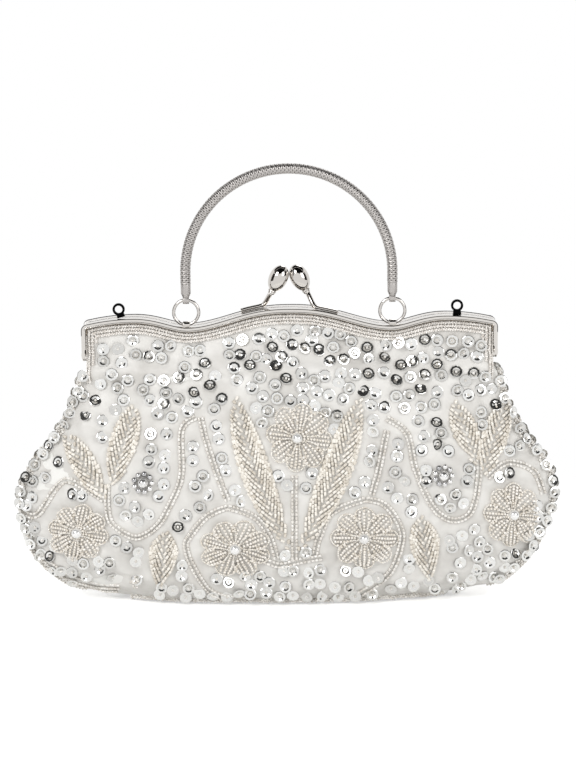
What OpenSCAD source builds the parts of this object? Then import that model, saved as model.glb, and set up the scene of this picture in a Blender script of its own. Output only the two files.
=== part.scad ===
// Beaded evening clutch with a kiss-lock frame, a snake-chain handle and two chain eyes.
// Millimetres, +Z up, the front of the bag towards -Y, the origin at the centre of its base.

/* [Pouch] */
// Widest width of the pouch
pouch_w = 268; // [250:1:290]
// Front-to-back depth of the pouch at its fullest
pouch_d = 48; // [42:1:60]
// Height of the frame's hinge line above the base
hinge_z = 126; // [115:1:140]
// Thickness of the satin shell with its backing
shell_t = 1.2; // [0.8:0.1:1.4]
// Thickness of the padding behind the shell
padding_t = 1.6; // [1:0.1:2.4]
// Thickness of the lining
lining_t = 0.5; // [0.3:0.1:0.7]

/* [Frame] */
// Width over the frame's legs
frame_w = 206; // [203:1:212]
// Front-to-back depth of one frame half
half_d = 6.6; // [6:0.1:7.5]
// Rise of the middle crest over the hinge line
crest_rise = 23.5; // [20:0.5:26]
// Rise of the two valleys over the hinge line
valley_rise = 14.5; // [13:0.1:16]
// Rise of the two shoulders over the hinge line
shoulder_rise = 19.3; // [17.5:0.1:20.5]
// Fall from the shoulder to the corner
corner_fall = 2.5; // [1:0.1:4]
// Distance of each valley from the middle
valley_x = 51; // [48:0.5:54]
// Distance of each shoulder from the middle
shoulder_x = 77; // [75:0.5:80]
// Thickness of the frame's strip
web_t = 0.9; // [0.7:0.1:1.2]
// Height of the strip's turned-down edges, with the strip itself
lip_h = 1.5; // [1.2:0.1:2]
// Depth of the wall that the cloth is sewn to, under the strip
wall_h = 5; // [4:0.1:6]

/* [Hinges] */
// Radius of the hinge ears
ear_r = 3; // [2.6:0.1:3.4]
// Radius of the hinge rivets
rivet_r = 1.2; // [0.9:0.1:1.5]
// Radius of the rivets' heads
rivet_head_r = 2; // [1.8:0.1:2.4]

/* [Kiss clasp] */
// Length of a clasp knob
knob_l = 14; // [11:0.1:15]
// Largest radius of a clasp knob
knob_r = 4.6; // [4:0.1:4.8]
// Lean of each knob towards the middle, in degrees
knob_lean = 26; // [20:1:30]
// Height of the knobs' middles over the crest
knob_rise = 14.4; // [13:0.1:17]
// Radius of the clasp arms' rod
rod_r = 1.25; // [0.9:0.05:1.3]
// Length of the straps that hold the arms
strap_l = 10.5; // [8:0.1:12]

/* [Handle] */
// Length of the handle's straight ends
leg_l = 5.5; // [5:0.1:14]
// Radius of the snake chain
chain_r = 2.6; // [2.3:0.1:3]
// Radius of the snake chain's bore
chain_bore_r = 1.9; // [1.5:0.1:2]
// Length of the end caps
cap_l = 6.7; // [5:0.1:9]
// Radius to the middle of the ring's wire
ring_r = 6.2; // [6:0.1:7]
// Radius of the ring's wire
wire_r = 0.85; // [0.6:0.05:0.95]

/* [Chain eyes] */
// Distance of each chain eye in from the frame's end
eye_in = 20; // [16:0.5:22]
// Radius of the eye's hole
eye_hole_r = 2; // [1.8:0.1:2.4]
// Radius of the eye's outside
eye_r = 2.9; // [2.8:0.1:3.4]
// Height of the eye's middle over the strip
eye_rise = 4.8; // [3.6:0.1:6]
// Thickness of the eye's plate
eye_t = 1.2; // [0.8:0.1:1.6]
// Lean of the left eye, which is bent a little, in degrees
left_eye_lean = 17; // [0:1:20]

/* [Beadwork] */
// Height that the bead rows stand off the cloth
bead_h = 1.4; // [1:0.1:1.8]
// Radius of a beaded flower
flower_r = 16.5; // [12:0.5:17.5]
// Number of petals of a beaded flower
petals = 8; // [6:1:10]
// Radius of a crystal flower
crystal_r = 5.8; // [5:0.1:7]
// Number of small beads round a crystal flower
crystal_beads = 8; // [7:1:9]
// Radius of the trim's tube along the side seams
trim_r = 1.1; // [0.8:0.1:1.4]

/* [Hidden] */

// Clearances and overruns
seam_gap = 0.1;
layer_gap = 0.2;
mid_gap = 0.2;
seat_gap = 0.05;
part_gap = 0.3;
ear_gap = 0.2;
cut_over = 1;

// Colours, as the photograph shows them
satin = "#e9e8e4";
padding_white = "#f4f3ef";
bead_cream = "#ddd6cb";
chrome = "#c9cacc";
dark_chrome = "#3a3b3d";

// Pouch: each row is [height as a share of the hinge line, half width share, half depth share]
pouch_shares = [
    [0.000, 0.520, 0.42], [0.018, 0.640, 0.61], [0.050, 0.785, 0.75], [0.095, 0.856, 0.86],
    [0.160, 0.915, 0.94], [0.240, 0.960, 0.99], [0.340, 0.988, 1.00], [0.440, 1.000, 0.98],
    [0.530, 0.968, 0.94], [0.610, 0.915, 0.88], [0.690, 0.858, 0.80], [0.780, 0.815, 0.71],
    [0.870, 0.782, 0.62], [1.000, 0.766, 0.50]
];
bulge_x = 2.4;
bulge_y = 0.72;
edge_share = 0.017;
columns = 13;
yoke_columns = 20;
base_rows = 1;
side_rows = 12;
row_power = 1.35;
panel_drop = 5.8;
half_w = pouch_w / 2;
half_pouch_d = pouch_d / 2;
edge_d = half_pouch_d * edge_share;
panel_top = hinge_z - panel_drop;
padding_in = shell_t + layer_gap;
lining_in = padding_in + padding_t + layer_gap;

// Yoke: the cloth between the pouch and the frame, which bends as the frame opens
yoke_rows = 3;
yoke_gap = 0.3;
yoke_power = 2.2;
wall_t = 0.7;
wall_y = mid_gap + 1.8;
cloth_y = wall_y + wall_t / 2 + layer_gap + shell_t;
yoke_edge_y = cloth_y - layer_gap;
yoke_lining_in = shell_t + wall_t + layer_gap * 4;
yoke_base = panel_top + yoke_gap;
yoke_d = half_pouch_d * spline(pouch_shares, 2, yoke_base / hinge_z);
border_h = 6.6;
border_drop = 0.4;
border_gap = 0.3;

// Frame
leg_x = frame_w / 2;
corner_r = 3.2;
wave_steps = 30;
corner_steps = 6;
crest_power = 1.2;
valley_power = 0.8;
crest_z = hinge_z + crest_rise;
valley_z = hinge_z + valley_rise;
shoulder_z = hinge_z + shoulder_rise;
lip_t = 0.8;
front_y = -mid_gap - half_d;
strip_y = front_y + half_d / 2;
fall_w = leg_x - corner_r - shoulder_x;
corner_slope = atan(2 * corner_fall / fall_w);
wave_end = leg_x - corner_r + corner_r * sin(corner_slope);
lip_low = hinge_z - 0.5 * ear_r / 3;
inner_lip_low = hinge_z + ear_r + 1.5;
joggle_h = ear_r;
inner_ear_x = leg_x - web_t - ear_gap;
wall_end_x = leg_x - 8;
leg_wall_w = 4.5;
leg_wall_low = inner_lip_low + joggle_h;
yoke_low_w = inner_ear_x - web_t - part_gap * 2;
yoke_top_w = leg_x - web_t - part_gap;
yoke_step_low = (leg_wall_low - yoke_base) / (corner_z() - yoke_base);

// Hinge rivets
head_t = 0.8;
rivet_in_x = inner_ear_x - web_t;

// Clasp
strap_t = 1.2;
strap_w = 2.6;
strap_x = 13.6;
strap_steps = 6;
knob_gap = 0.15;
knob_cross = 0.8;
knob_steps = 20;
knob_swell = 0.04;
neck_r = 1.75;
neck_l = 1.6;
tenon_l = 4;
elbow_r = rod_r * 1.1;
knob_reach = sqrt(pow(knob_l / 2 * sin(knob_lean), 2) + pow(knob_r * cos(knob_lean), 2));
knob_x = knob_reach + knob_gap;
knob_z = crest_z + knob_rise;

// Ring, lug and handle
lug_bore_r = wire_r + part_gap;
lug_wall = 0.55;
lug_w = 3.2;
lug_base_w = 4.2;
ring_gap = 0.3;
pivot_z = valley_z + wire_r + ring_gap;
ring_top_z = pivot_z + 2 * ring_r;
loop_gap = 0.35;
loop_bore_r = wire_r + loop_gap;
loop_t = 0.8;
loop_w = 3;
cap_low_z = ring_top_z + loop_bore_r + loop_t / 4;
cap_top_z = cap_low_z + cap_l;
cap_r = chain_r - 0.15;
cap_neck_r = cap_r * 0.65;
cap_taper_l = cap_l * 0.28;
spigot_l = 4;
arch_r = valley_x;
arch_z = cap_top_z + leg_l;

// Chain eye
eye_x = leg_x - eye_in;
eye_neck_w = eye_r;
eye_foot_w = eye_r * 1.4;

// Beadwork: each place is [share of half the width, share of the hinge line's height]
flower_place_shares = [[0.034, 0.694], [-0.203, 0.254], [0.275, 0.296], [-0.790, 0.294], [0.828, 0.365]];
flower_size_shares = [0.98, 1.04, 1.02, 0.88, 0.88];
crystal_place_shares = [[-0.545, 0.510], [0.565, 0.538]];
// Each leaf is [root x, root z, tip x, tip z, half its width as a share of a flower's radius]
leaf_shares = [
    [-0.035, 0.345, -0.200, 0.840, 0.34], [0.085, 0.315, 0.250, 0.840, 0.34],
    [-0.705, 0.460, -0.825, 0.670, 0.28], [-0.660, 0.520, -0.570, 0.820, 0.32],
    [0.680, 0.625, 0.604, 0.825, 0.26], [0.720, 0.565, 0.770, 0.790, 0.26],
    [-0.480, 0.110, -0.464, 0.300, 0.26], [0.524, 0.130, 0.482, 0.350, 0.26]
];
// Each vine is a run of places
vine_shares = [
    [[-0.347, 0.770], [-0.399, 0.718], [-0.406, 0.640], [-0.400, 0.544], [-0.437, 0.440], [-0.492, 0.341],
        [-0.566, 0.288], [-0.633, 0.314], [-0.674, 0.369], [-0.680, 0.430]],
    [[-0.311, 0.700], [-0.273, 0.563], [-0.232, 0.450], [-0.305, 0.383], [-0.366, 0.308], [-0.386, 0.249],
        [-0.341, 0.130], [-0.278, 0.075]],
    [[-0.115, 0.379], [-0.064, 0.299], [-0.048, 0.208]],
    [[-0.945, 0.350], [-0.862, 0.481], [-0.807, 0.500], [-0.750, 0.450]],
    [[0.017, 0.548], [0.017, 0.203]],
    [[0.357, 0.719], [0.328, 0.573], [0.301, 0.475]],
    [[0.250, 0.450], [0.159, 0.401], [0.111, 0.308], [0.093, 0.229]],
    [[0.351, 0.426], [0.408, 0.340], [0.412, 0.261], [0.368, 0.140], [0.275, 0.075]],
    [[0.354, 0.766], [0.432, 0.704], [0.462, 0.570], [0.529, 0.415], [0.601, 0.357], [0.666, 0.378],
        [0.694, 0.461]],
    [[0.744, 0.541], [0.824, 0.571], [0.914, 0.518], [0.950, 0.437]]
];
leaf_rows = 9;
leaf_row_share = 0.8;
leaf_root_share = 0.45;
vine_r = 1.9;
sequin_r = 3;
sequin_t = 0.6;
sequin_least_r = 1.6;
sequin_bead_r = 0.9;
sequin_bead_h = 1.1;
edge_room_share = 0.7;
petal_ring_share = 0.70;
centre_r = 2.1;
round_fn = 48;
wire_fn = 32;
pad_fn = 24;
tube_sides = 8;
trim_rows = 26;

// Photograph, in its pixels: its middle, the camera's distance and lean, the middle's height over the
// base, and the pouch's half width, its height to the hinge line and its half depth
photo_middle = [290, 384];
photo_far = 2200;
photo_lean = 12.5;
photo_rise = 220.4;
photo_pouch = [268, 252, 48];
photo_steps = 8;
// Middles of the sequins on the front, in pixels of the photograph, whose frame is 576 x 768
sequin_pixels = [
    [104, 361], [122, 363], [149, 357], [161, 358], [185, 367], [205, 364], [234, 368], [250, 366],
    [256, 356], [266, 359], [276, 366], [282, 357], [293, 363], [330, 361], [343, 360], [368, 360],
    [384, 358], [401, 366], [412, 362], [423, 359], [437, 365], [477, 357], [83, 375], [101, 383],
    [112, 374], [118, 388], [128, 380], [143, 390], [150, 379], [164, 381], [166, 393], [179, 378],
    [194, 393], [197, 375], [210, 386], [215, 376], [237, 380], [252, 388], [260, 377], [275, 385],
    [286, 379], [302, 373], [303, 388], [314, 380], [317, 392], [325, 376], [329, 395], [339, 383],
    [341, 373], [349, 388], [355, 374], [363, 391], [368, 374], [375, 393], [384, 373], [396, 380],
    [409, 395], [410, 377], [420, 389], [424, 375], [437, 392], [441, 375], [456, 372], [457, 390],
    [465, 380], [468, 395], [473, 373], [480, 390], [485, 376], [491, 389], [84, 396], [86, 415],
    [96, 401], [116, 410], [124, 400], [150, 400], [158, 413], [164, 404], [172, 417], [179, 399],
    [188, 411], [196, 402], [214, 409], [222, 399], [256, 408], [263, 396], [268, 411], [277, 398],
    [291, 401], [303, 400], [315, 406], [325, 412], [337, 416], [343, 399], [371, 405], [373, 420],
    [384, 407], [396, 396], [404, 408], [421, 407], [434, 404], [481, 412], [495, 405], [56, 438],
    [103, 421], [103, 437], [151, 434], [167, 434], [216, 426], [219, 439], [262, 422], [334, 429],
    [373, 431], [398, 444], [418, 421], [423, 436], [436, 423], [441, 432], [482, 424], [50, 446],
    [59, 462], [149, 462], [152, 449], [164, 468], [165, 455], [193, 447], [193, 460], [222, 458],
    [370, 461], [372, 451], [397, 456], [421, 450], [438, 445], [448, 451], [509, 451], [519, 445],
    [33, 481], [46, 477], [125, 488], [164, 484], [195, 486], [203, 476], [226, 470], [235, 490],
    [278, 476], [287, 485], [306, 488], [312, 473], [355, 492], [365, 482], [388, 487], [395, 472],
    [404, 481], [426, 470], [426, 481], [467, 481], [469, 469], [499, 477], [509, 473], [28, 505],
    [33, 497], [73, 494], [82, 496], [119, 500], [126, 515], [135, 507], [149, 514], [159, 496],
    [186, 515], [200, 507], [208, 495], [241, 501], [397, 498], [411, 512], [412, 499], [440, 499],
    [450, 507], [455, 494], [463, 503], [536, 505], [537, 516], [546, 516], [27, 525], [28, 536],
    [36, 527], [43, 540], [116, 540], [138, 521], [178, 527], [449, 540], [462, 535], [474, 529],
    [528, 534], [537, 530], [43, 553], [51, 556], [55, 547], [73, 560], [84, 563], [99, 561], [110, 562],
    [127, 547], [136, 561], [139, 552], [285, 555], [306, 552], [409, 558], [452, 547], [460, 562],
    [468, 550], [477, 556], [479, 541], [487, 548], [489, 562], [504, 555], [515, 553], [530, 547],
    [539, 547], [62, 569], [73, 571], [86, 575], [101, 569], [113, 576], [138, 579], [162, 586],
    [182, 565], [182, 575], [189, 587], [217, 578], [228, 581], [245, 575], [251, 584], [260, 576],
    [269, 582], [284, 570], [286, 586], [293, 570], [309, 572], [309, 583], [320, 569], [320, 583],
    [335, 586], [345, 570], [348, 586], [358, 571], [369, 580], [378, 577], [391, 588], [401, 582],
    [409, 568], [413, 585], [428, 580], [434, 587], [452, 576], [460, 583], [470, 578], [476, 568],
    [482, 575], [492, 576], [504, 566], [173, 589], [200, 592], [239, 592], [250, 593], [266, 591],
    [444, 592]
];

// Slope of a table's column at a row, from its neighbours
function slope(table, c, i) =
    let (a = max(i - 1, 0), b = min(i + 1, len(table) - 1))
    (table[b][c] - table[a][c]) / (table[b][0] - table[a][0]);

// Smooth curve through a table's column, at the place u of its first column
function spline(table, c, u, i = 0) =
    (i < len(table) - 2 && u > table[i + 1][0]) ? spline(table, c, u, i + 1) :
    let (
        h = table[i + 1][0] - table[i][0],
        p = (u - table[i][0]) / h,
        m0 = slope(table, c, i) * h,
        m1 = slope(table, c, i + 1) * h
    )
    (2 * p * p * p - 3 * p * p + 1) * table[i][c] + (p * p * p - 2 * p * p + p) * m0
    + (3 * p * p - 2 * p * p * p) * table[i + 1][c] + (p * p * p - p * p) * m1;

function pouch_half_w(z) = half_w * spline(pouch_shares, 1, z / hinge_z);
function pouch_half_d(z) = half_pouch_d * spline(pouch_shares, 2, z / hinge_z);

// How full the pouch is across its width: 1 in the middle, 0 at the side seams
function bulge(t) = pow(max(1 - pow(abs(t), bulge_x), 0), bulge_y);

// Depth of the front cloth's outer face at a place on the pouch
function cloth_depth(x, z) =
    seam_gap + edge_d + (pouch_half_d(z) - edge_d) * bulge(x / pouch_half_w(z));

// Half a cosine wave from 0 to 1
function ease(u) = (1 - cos(180 * u)) / 2;

// Height of the frame's top along its width
function wave(x) =
    let (a = abs(x))
    a < valley_x ? crest_z - (crest_z - valley_z) * ease(pow(a / valley_x, crest_power)) :
    a < shoulder_x
        ? valley_z + (shoulder_z - valley_z) * ease(pow((a - valley_x) / (shoulder_x - valley_x), valley_power))
        : shoulder_z - corner_fall * pow((a - shoulder_x) / fall_w, 2);

// Lean of the frame's top, in degrees, positive where it falls outwards
function wave_lean(x) =
    let (h = valley_x / 1000)
    atan((wave(x - h) - wave(x + h)) / (2 * h));

function corner_z() = wave(wave_end);

// Points of half the frame's outline, drawn in by inset, from the middle to the foot of a leg
function half_path(inset, low_z) =
    let (
        centre = [wave_end - corner_r * sin(corner_slope), corner_z() - corner_r * cos(corner_slope)],
        r = corner_r - inset
    )
    concat(
        [for (i = [0 : wave_steps])
            let (x = wave_end * i / wave_steps, a = wave_lean(x))
            [x - inset * sin(a), wave(x) - inset * cos(a)]],
        [for (i = [1 : corner_steps])
            let (a = (90 - corner_slope) * (1 - i / corner_steps))
            [centre[0] + r * cos(a), centre[1] + r * sin(a)]],
        [[leg_x - inset, low_z]]
    );

function mirrored(path) = [for (i = [len(path) - 1 : -1 : 1]) [-path[i][0], path[i][1]]];
function full_path(inset, low_z) =
    let (half = half_path(inset, low_z)) concat(mirrored(half), half);
function backwards(path) = [for (i = [len(path) - 1 : -1 : 0]) path[i]];

// Highest point of the frame's top under a foot that reaches half_foot either side of x
function foot_z(x, half_foot) =
    max([for (i = [-6 : 6]) wave(x + half_foot * i / 6)]) + seat_gap;

// A grid point of the lower pouch, drawn in by inset: i runs across and j from the base seam up
function panel_point(inset, i, j) =
    let (
        t = sin(90 * i / columns),
        k = j < base_rows ? j / base_rows : 1,
        u = j < base_rows ? 0 : pow((j - base_rows) / side_rows, row_power),
        z = u * panel_top,
        w = pouch_half_w(z) - inset,
        d = pouch_half_d(z) - inset
    )
    [w * t, -(seam_gap + k * (edge_d + (d - edge_d) * bulge(t))), inset + z * (1 - inset / panel_top)];

// Half width of the yoke, which steps out into the frame's legs above the hinge ears
function yoke_half_w(s) = s < yoke_step_low + 0.08 ? yoke_low_w : yoke_top_w;

// A grid point of the yoke at a share s of its height, moved back by inset and drawn in by draw at its edges
function yoke_point(inset, i, s, draw) =
    let (
        t = sin(90 * i / yoke_columns),
        x = (yoke_half_w(s) - draw) * t,
        top = wave(min(abs(x), wave_end)) - web_t - part_gap - draw - (abs(x) > wave_end ? corner_r : 0),
        z = yoke_base + (top - yoke_base) * s,
        d = cloth_y + (yoke_d - cloth_y) * pow(1 - s, yoke_power),
        e = yoke_edge_y + (cloth_y - yoke_edge_y) * s
    )
    [x, -(e + (d - e) * bulge(t)) + inset, z];

// A grid point of the bead border, which lies on the yoke's top row, at a share v of the border's height
function border_point(gap, i, v) =
    let (
        low = yoke_point(-gap, i, 1 - 1 / yoke_rows, 0),
        high = yoke_point(-gap, i, 1, 0),
        h = high[2] - low[2],
        down = border_drop + min(border_h, 0.95 * h - border_drop) * (1 - v)
    )
    high - (high - low) * down / h;

// A closed sheet between an outer and an inner grid of (n + 1) x (m + 1) points
module sheet(outer, inner, n, m) {
    k = (n + 1) * (m + 1);
    polyhedron(
        points = concat(outer, inner),
        faces = concat(
            [for (j = [0 : m - 1], i = [0 : n - 1], h = [0, 1])
                let (a = j * (n + 1) + i)
                h == 0 ? [a, a + n + 1, a + n + 2] : [a, a + n + 2, a + 1]],
            [for (j = [0 : m - 1], i = [0 : n - 1], h = [0, 1])
                let (a = k + j * (n + 1) + i)
                h == 0 ? [a, a + n + 2, a + n + 1] : [a, a + 1, a + n + 2]],
            [for (i = [0 : n - 1], side = [0, 1], h = [0, 1])
                let (a = i + side * m * (n + 1), b = a + 1, f = side == 0 ? [a, b, b + k, a + k] : [b, a, a + k, b + k])
                h == 0 ? [f[0], f[1], f[2]] : [f[0], f[2], f[3]]],
            [for (j = [0 : m - 1], side = [0, 1], h = [0, 1])
                let (
                    a = j * (n + 1) + side * n,
                    b = a + n + 1,
                    f = side == 0 ? [b, a, a + k, b + k] : [a, b, b + k, a + k]
                )
                h == 0 ? [f[0], f[1], f[2]] : [f[0], f[2], f[3]]]
        ),
        convexity = 6
    );
}

module panel_layer(inset, thickness) {
    rows = base_rows + side_rows;
    sheet(
        [for (j = [0 : rows], i = [-columns : columns]) panel_point(inset, i, j)],
        [for (j = [0 : rows], i = [-columns : columns]) panel_point(inset + thickness, i, j)],
        2 * columns, rows
    );
}

module yoke_layer(inset, thickness, draw = 0) {
    sheet(
        [for (j = [0 : yoke_rows], i = [-yoke_columns : yoke_columns])
            yoke_point(inset, i, j / yoke_rows, draw)],
        [for (j = [0 : yoke_rows], i = [-yoke_columns : yoke_columns])
            yoke_point(inset + thickness, i, j / yoke_rows, draw)],
        2 * yoke_columns, yoke_rows
    );
}

module to_back() mirror([0, 1, 0]) children();
module to_left() mirror([1, 0, 0]) children();
module turned() rotate([0, 0, 180]) children();

// Lays children that are drawn in X and Y into the XZ plane, from y0 to y1
module across(y0, y1) translate([0, y1, 0]) rotate([90, 0, 0]) linear_extrude(y1 - y0) children();

// Turns children that stand along Z to point from one place to another
module aim(from, to) {
    v = to - from;
    translate(from) rotate([0, acos(v[2] / norm(v)), atan2(v[1], v[0])]) children();
}

module rod(from, to, r) aim(from, to) cylinder(r = r, h = norm(to - from), $fn = wire_fn);

module front_panel() color(satin) panel_layer(0, shell_t);
module back_panel() color(satin) to_back() panel_layer(0, shell_t);
module front_padding() color(padding_white) panel_layer(padding_in, padding_t);
module back_padding() color(padding_white) to_back() panel_layer(padding_in, padding_t);
module front_lining() color(satin) panel_layer(lining_in, lining_t);
module back_lining() color(satin) to_back() panel_layer(lining_in, lining_t);
module front_yoke() color(satin) yoke_layer(0, shell_t);
module back_yoke() color(satin) to_back() yoke_layer(0, shell_t);
module lining_yoke() yoke_layer(yoke_lining_in, lining_t, draw = lip_h - web_t);
module front_lining_yoke() color(satin) lining_yoke();
module back_lining_yoke() color(satin) to_back() lining_yoke();

// Rows of beads that run along the frame's edge
module bead_border()
    sheet(
        [for (v = [0, 1], i = [-yoke_columns : yoke_columns]) border_point(border_gap + bead_h, i, v)],
        [for (v = [0, 1], i = [-yoke_columns : yoke_columns]) border_point(border_gap, i, v)],
        2 * yoke_columns, 1
    );
module front_bead_border() color(bead_cream) bead_border();
module back_bead_border() color(bead_cream) to_back() bead_border();

// A tube along a side seam, from its foot by the base to the hinge
module seam_trim() {
    low = 0.055 * hinge_z;
    high = panel_top - trim_r;
    step = (high - low) / trim_rows;
    reach = trim_r + part_gap;
    rings = [for (j = [0 : trim_rows])
        let (
            z = low + step * j,
            a = atan((pouch_half_w(z + step / 4) - pouch_half_w(z - step / 4)) / (step / 2)),
            middle = [pouch_half_w(z) + reach * cos(a), z - reach * sin(a)]
        )
        for (i = [0 : tube_sides - 1])
            let (b = 360 * i / tube_sides)
            [middle[0] + trim_r * cos(b) * cos(a), trim_r * sin(b), middle[1] - trim_r * cos(b) * sin(a)]];
    polyhedron(
        points = rings,
        faces = concat(
            [[for (i = [0 : tube_sides - 1]) i]],
            [[for (i = [tube_sides - 1 : -1 : 0]) trim_rows * tube_sides + i]],
            [for (j = [0 : trim_rows - 1], i = [0 : tube_sides - 1], h = [0, 1])
                let (a = j * tube_sides + i, b = j * tube_sides + (i + 1) % tube_sides)
                h == 0 ? [a, a + tube_sides, b + tube_sides] : [a, b + tube_sides, b]]
        )
    );
}
module right_seam_trim() color(bead_cream) seam_trim();
module left_seam_trim() color(bead_cream) to_left() seam_trim();

// Sets children, which stand along Z, on the front cloth at a place and square to it
module on_cloth(x, z) {
    h = half_w / 200;
    dx = (cloth_depth(x + h, z) - cloth_depth(x - h, z)) / (2 * h);
    dz = (cloth_depth(x, z + h) - cloth_depth(x, z - h)) / (2 * h);
    place = [x, -cloth_depth(x, z), z];
    aim(place, place + [-dx, -1, -dz]) children();
}

module pad(x, z, r, h) on_cloth(x, z) translate([0, 0, part_gap]) cylinder(r = r, h = h, $fn = pad_fn);

// A flower of beads: petals round a hub, each lying square to the cloth under it
module flower(x, z, size) {
    ring = flower_r * size * petal_ring_share;
    petal_r = ring * sin(180 / petals) - part_gap / 2;
    pad(x, z, ring - petal_r - part_gap, bead_h);
    for (i = [0 : petals - 1]) {
        a = 360 * (i + 0.5) / petals;
        pad(x + ring * cos(a), z + ring * sin(a), petal_r, bead_h);
    }
    on_cloth(x, z) translate([0, 0, part_gap + bead_h / 2]) cylinder(r = centre_r, h = bead_h, $fn = pad_fn);
}

module flowers()
    for (i = [0 : len(flower_place_shares) - 1])
        let (p = place(flower_place_shares[i])) flower(p[0], p[1], flower_size_shares[i]);
module front_flowers() color(bead_cream) flowers();
module back_flowers() color(bead_cream) turned() flowers();

// A place on the pouch from its shares
function place(share) = [share[0] * half_w, share[1] * hinge_z];
function leaf_root(l) = place([l[0], l[1]]);
function leaf_tip(l) = place([l[2], l[3]]);

// A leaf of bead rows that lie across its vein, each row square to the cloth under it
module leaf(root, tip, half_leaf) {
    vein = tip - root;
    row_l = norm(vein) / leaf_rows * leaf_row_share;
    for (i = [0 : leaf_rows - 1]) {
        u = (i + 0.5) / leaf_rows;
        at = root + vein * u;
        row_w = 2 * half_leaf * (leaf_root_share + (1 - leaf_root_share) * sin(180 * pow(u, 0.8)));
        on_cloth(at[0], at[1]) rotate([0, 0, atan2(vein[0], -vein[1])])
            translate([-row_l / 2, -row_w / 2, part_gap]) cube([row_l, row_w, bead_h]);
    }
}
module leaves()
    for (l = leaf_shares)
        leaf(leaf_root(l), leaf_tip(l), l[4] * flower_r);
module front_leaves() color(bead_cream) leaves();
module back_leaves() color(bead_cream) turned() leaves();

// Distance from a place to the line between two others
function off_line(p, a, b) =
    let (v = b - a, u = min(max((p - a) * v / (v * v), 0), 1)) norm(p - a - v * u);

// Room round a place before a flower, a crystal or a leaf is met
function cloth_room(p) =
    min(concat(
        [for (i = [0 : len(flower_place_shares) - 1])
            norm(p - place(flower_place_shares[i])) - flower_r * flower_size_shares[i]],
        [for (c = crystal_place_shares) norm(p - place(c)) - crystal_r],
        [for (l = leaf_shares) off_line(p, leaf_root(l), leaf_tip(l)) - l[4] * flower_r]
    ));

// Places of a vine's beads, evenly along each of its runs
function vine_beads(vine) =
    [for (i = [0 : len(vine) - 2])
        let (a = place(vine[i]), b = place(vine[i + 1]), n = max(floor(norm(b - a) / (2 * vine_r + part_gap)), 1))
        for (k = [0 : n - 1]) a + (b - a) * k / n];

module vines()
    for (vine = vine_shares, p = vine_beads(vine))
        if (cloth_room(p) > vine_r + part_gap)
            pad(p[0], p[1], vine_r, bead_h);
module front_vines() color(bead_cream) vines();
module back_vines() color(bead_cream) turned() vines();

// Distance from a place to the middle of the nearest vine
function off_vines(p) =
    min([for (vine = vine_shares, i = [0 : len(vine) - 2]) off_line(p, place(vine[i]), place(vine[i + 1]))]);

// Depth of the photographed cloth in pixels, at shares of half the width and of the hinge line's height
function photo_depth(share) =
    let (
        u = min(max(share[1], 0), 1),
        full = spline(pouch_shares, 2, u),
        t = share[0] / spline(pouch_shares, 1, u)
    )
    photo_pouch[2] * (edge_share + (full - edge_share) * bulge(t));

// Shares of the place on the cloth that the photograph shows at a pixel, nearer with each step
function photo_share(pixel, depth = 0, steps = photo_steps) =
    let (
        w = (photo_middle[1] - pixel[1]) / photo_far,
        up = (w * (photo_far - depth * cos(photo_lean)) + depth * sin(photo_lean))
            / (cos(photo_lean) + w * sin(photo_lean)),
        far = photo_far - depth * cos(photo_lean) - up * sin(photo_lean),
        share = [
            (pixel[0] - photo_middle[0]) * far / photo_far / photo_pouch[0],
            (up + photo_rise) / photo_pouch[1]
        ]
    )
    steps == 0 ? share : photo_share(pixel, photo_depth(share), steps - 1);

// Radius of the sequin at a place, which its neighbours, the other beadwork and the seams leave room for
function sequin_size(spots, i) =
    let (p = spots[i])
    min(concat(
        [sequin_r, cloth_room(p) - part_gap, off_vines(p) - vine_r - part_gap],
        [panel_top - part_gap - p[1], p[1] / 2, (pouch_half_w(p[1]) - abs(p[0])) * edge_room_share],
        [for (j = [0 : len(spots) - 1]) if (j != i) (norm(spots[j] - p) - part_gap) / 2]
    ));

// Sequins, each with a bead at its middle, on the cloth between the other beadwork
module sequins() {
    spots = [for (pixel = sequin_pixels) let (p = place(photo_share(pixel))) if (p[1] < panel_top) p];
    for (i = [0 : len(spots) - 1]) {
        r = sequin_size(spots, i);
        if (r > sequin_least_r)
            on_cloth(spots[i][0], spots[i][1]) translate([0, 0, part_gap]) {
                cylinder(r = r, h = sequin_t, $fn = pad_fn);
                cylinder(r = sequin_bead_r, h = sequin_bead_h, $fn = pad_fn);
            }
    }
}
module front_sequins() color(chrome) sequins();
module back_sequins() color(chrome) turned() sequins();

// A flower of polished beads in a cup
module crystal(x, z) {
    small_r = crystal_r * 0.25;
    big_r = crystal_r * 0.42;
    on_cloth(x, z) translate([0, 0, part_gap]) {
        cylinder(r = crystal_r * 0.8, h = bead_h / 2, $fn = pad_fn);
        translate([0, 0, bead_h / 2]) sphere(r = big_r, $fn = pad_fn);
        for (i = [0 : crystal_beads - 1])
            rotate([0, 0, 360 * i / crystal_beads])
                translate([crystal_r - small_r, 0, small_r]) sphere(r = small_r, $fn = pad_fn);
    }
}
module crystal_cut(x, z)
    on_cloth(x, z) translate([0, 0, part_gap - crystal_r]) cylinder(r = 2 * crystal_r, h = crystal_r, $fn = pad_fn);
module crystals()
    for (c = crystal_place_shares)
        let (p = place(c)) difference() {
            crystal(p[0], p[1]);
            crystal_cut(p[0], p[1]);
        }
module front_crystals() color(chrome) crystals();
module back_crystals() color(chrome) turned() crystals();

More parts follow.
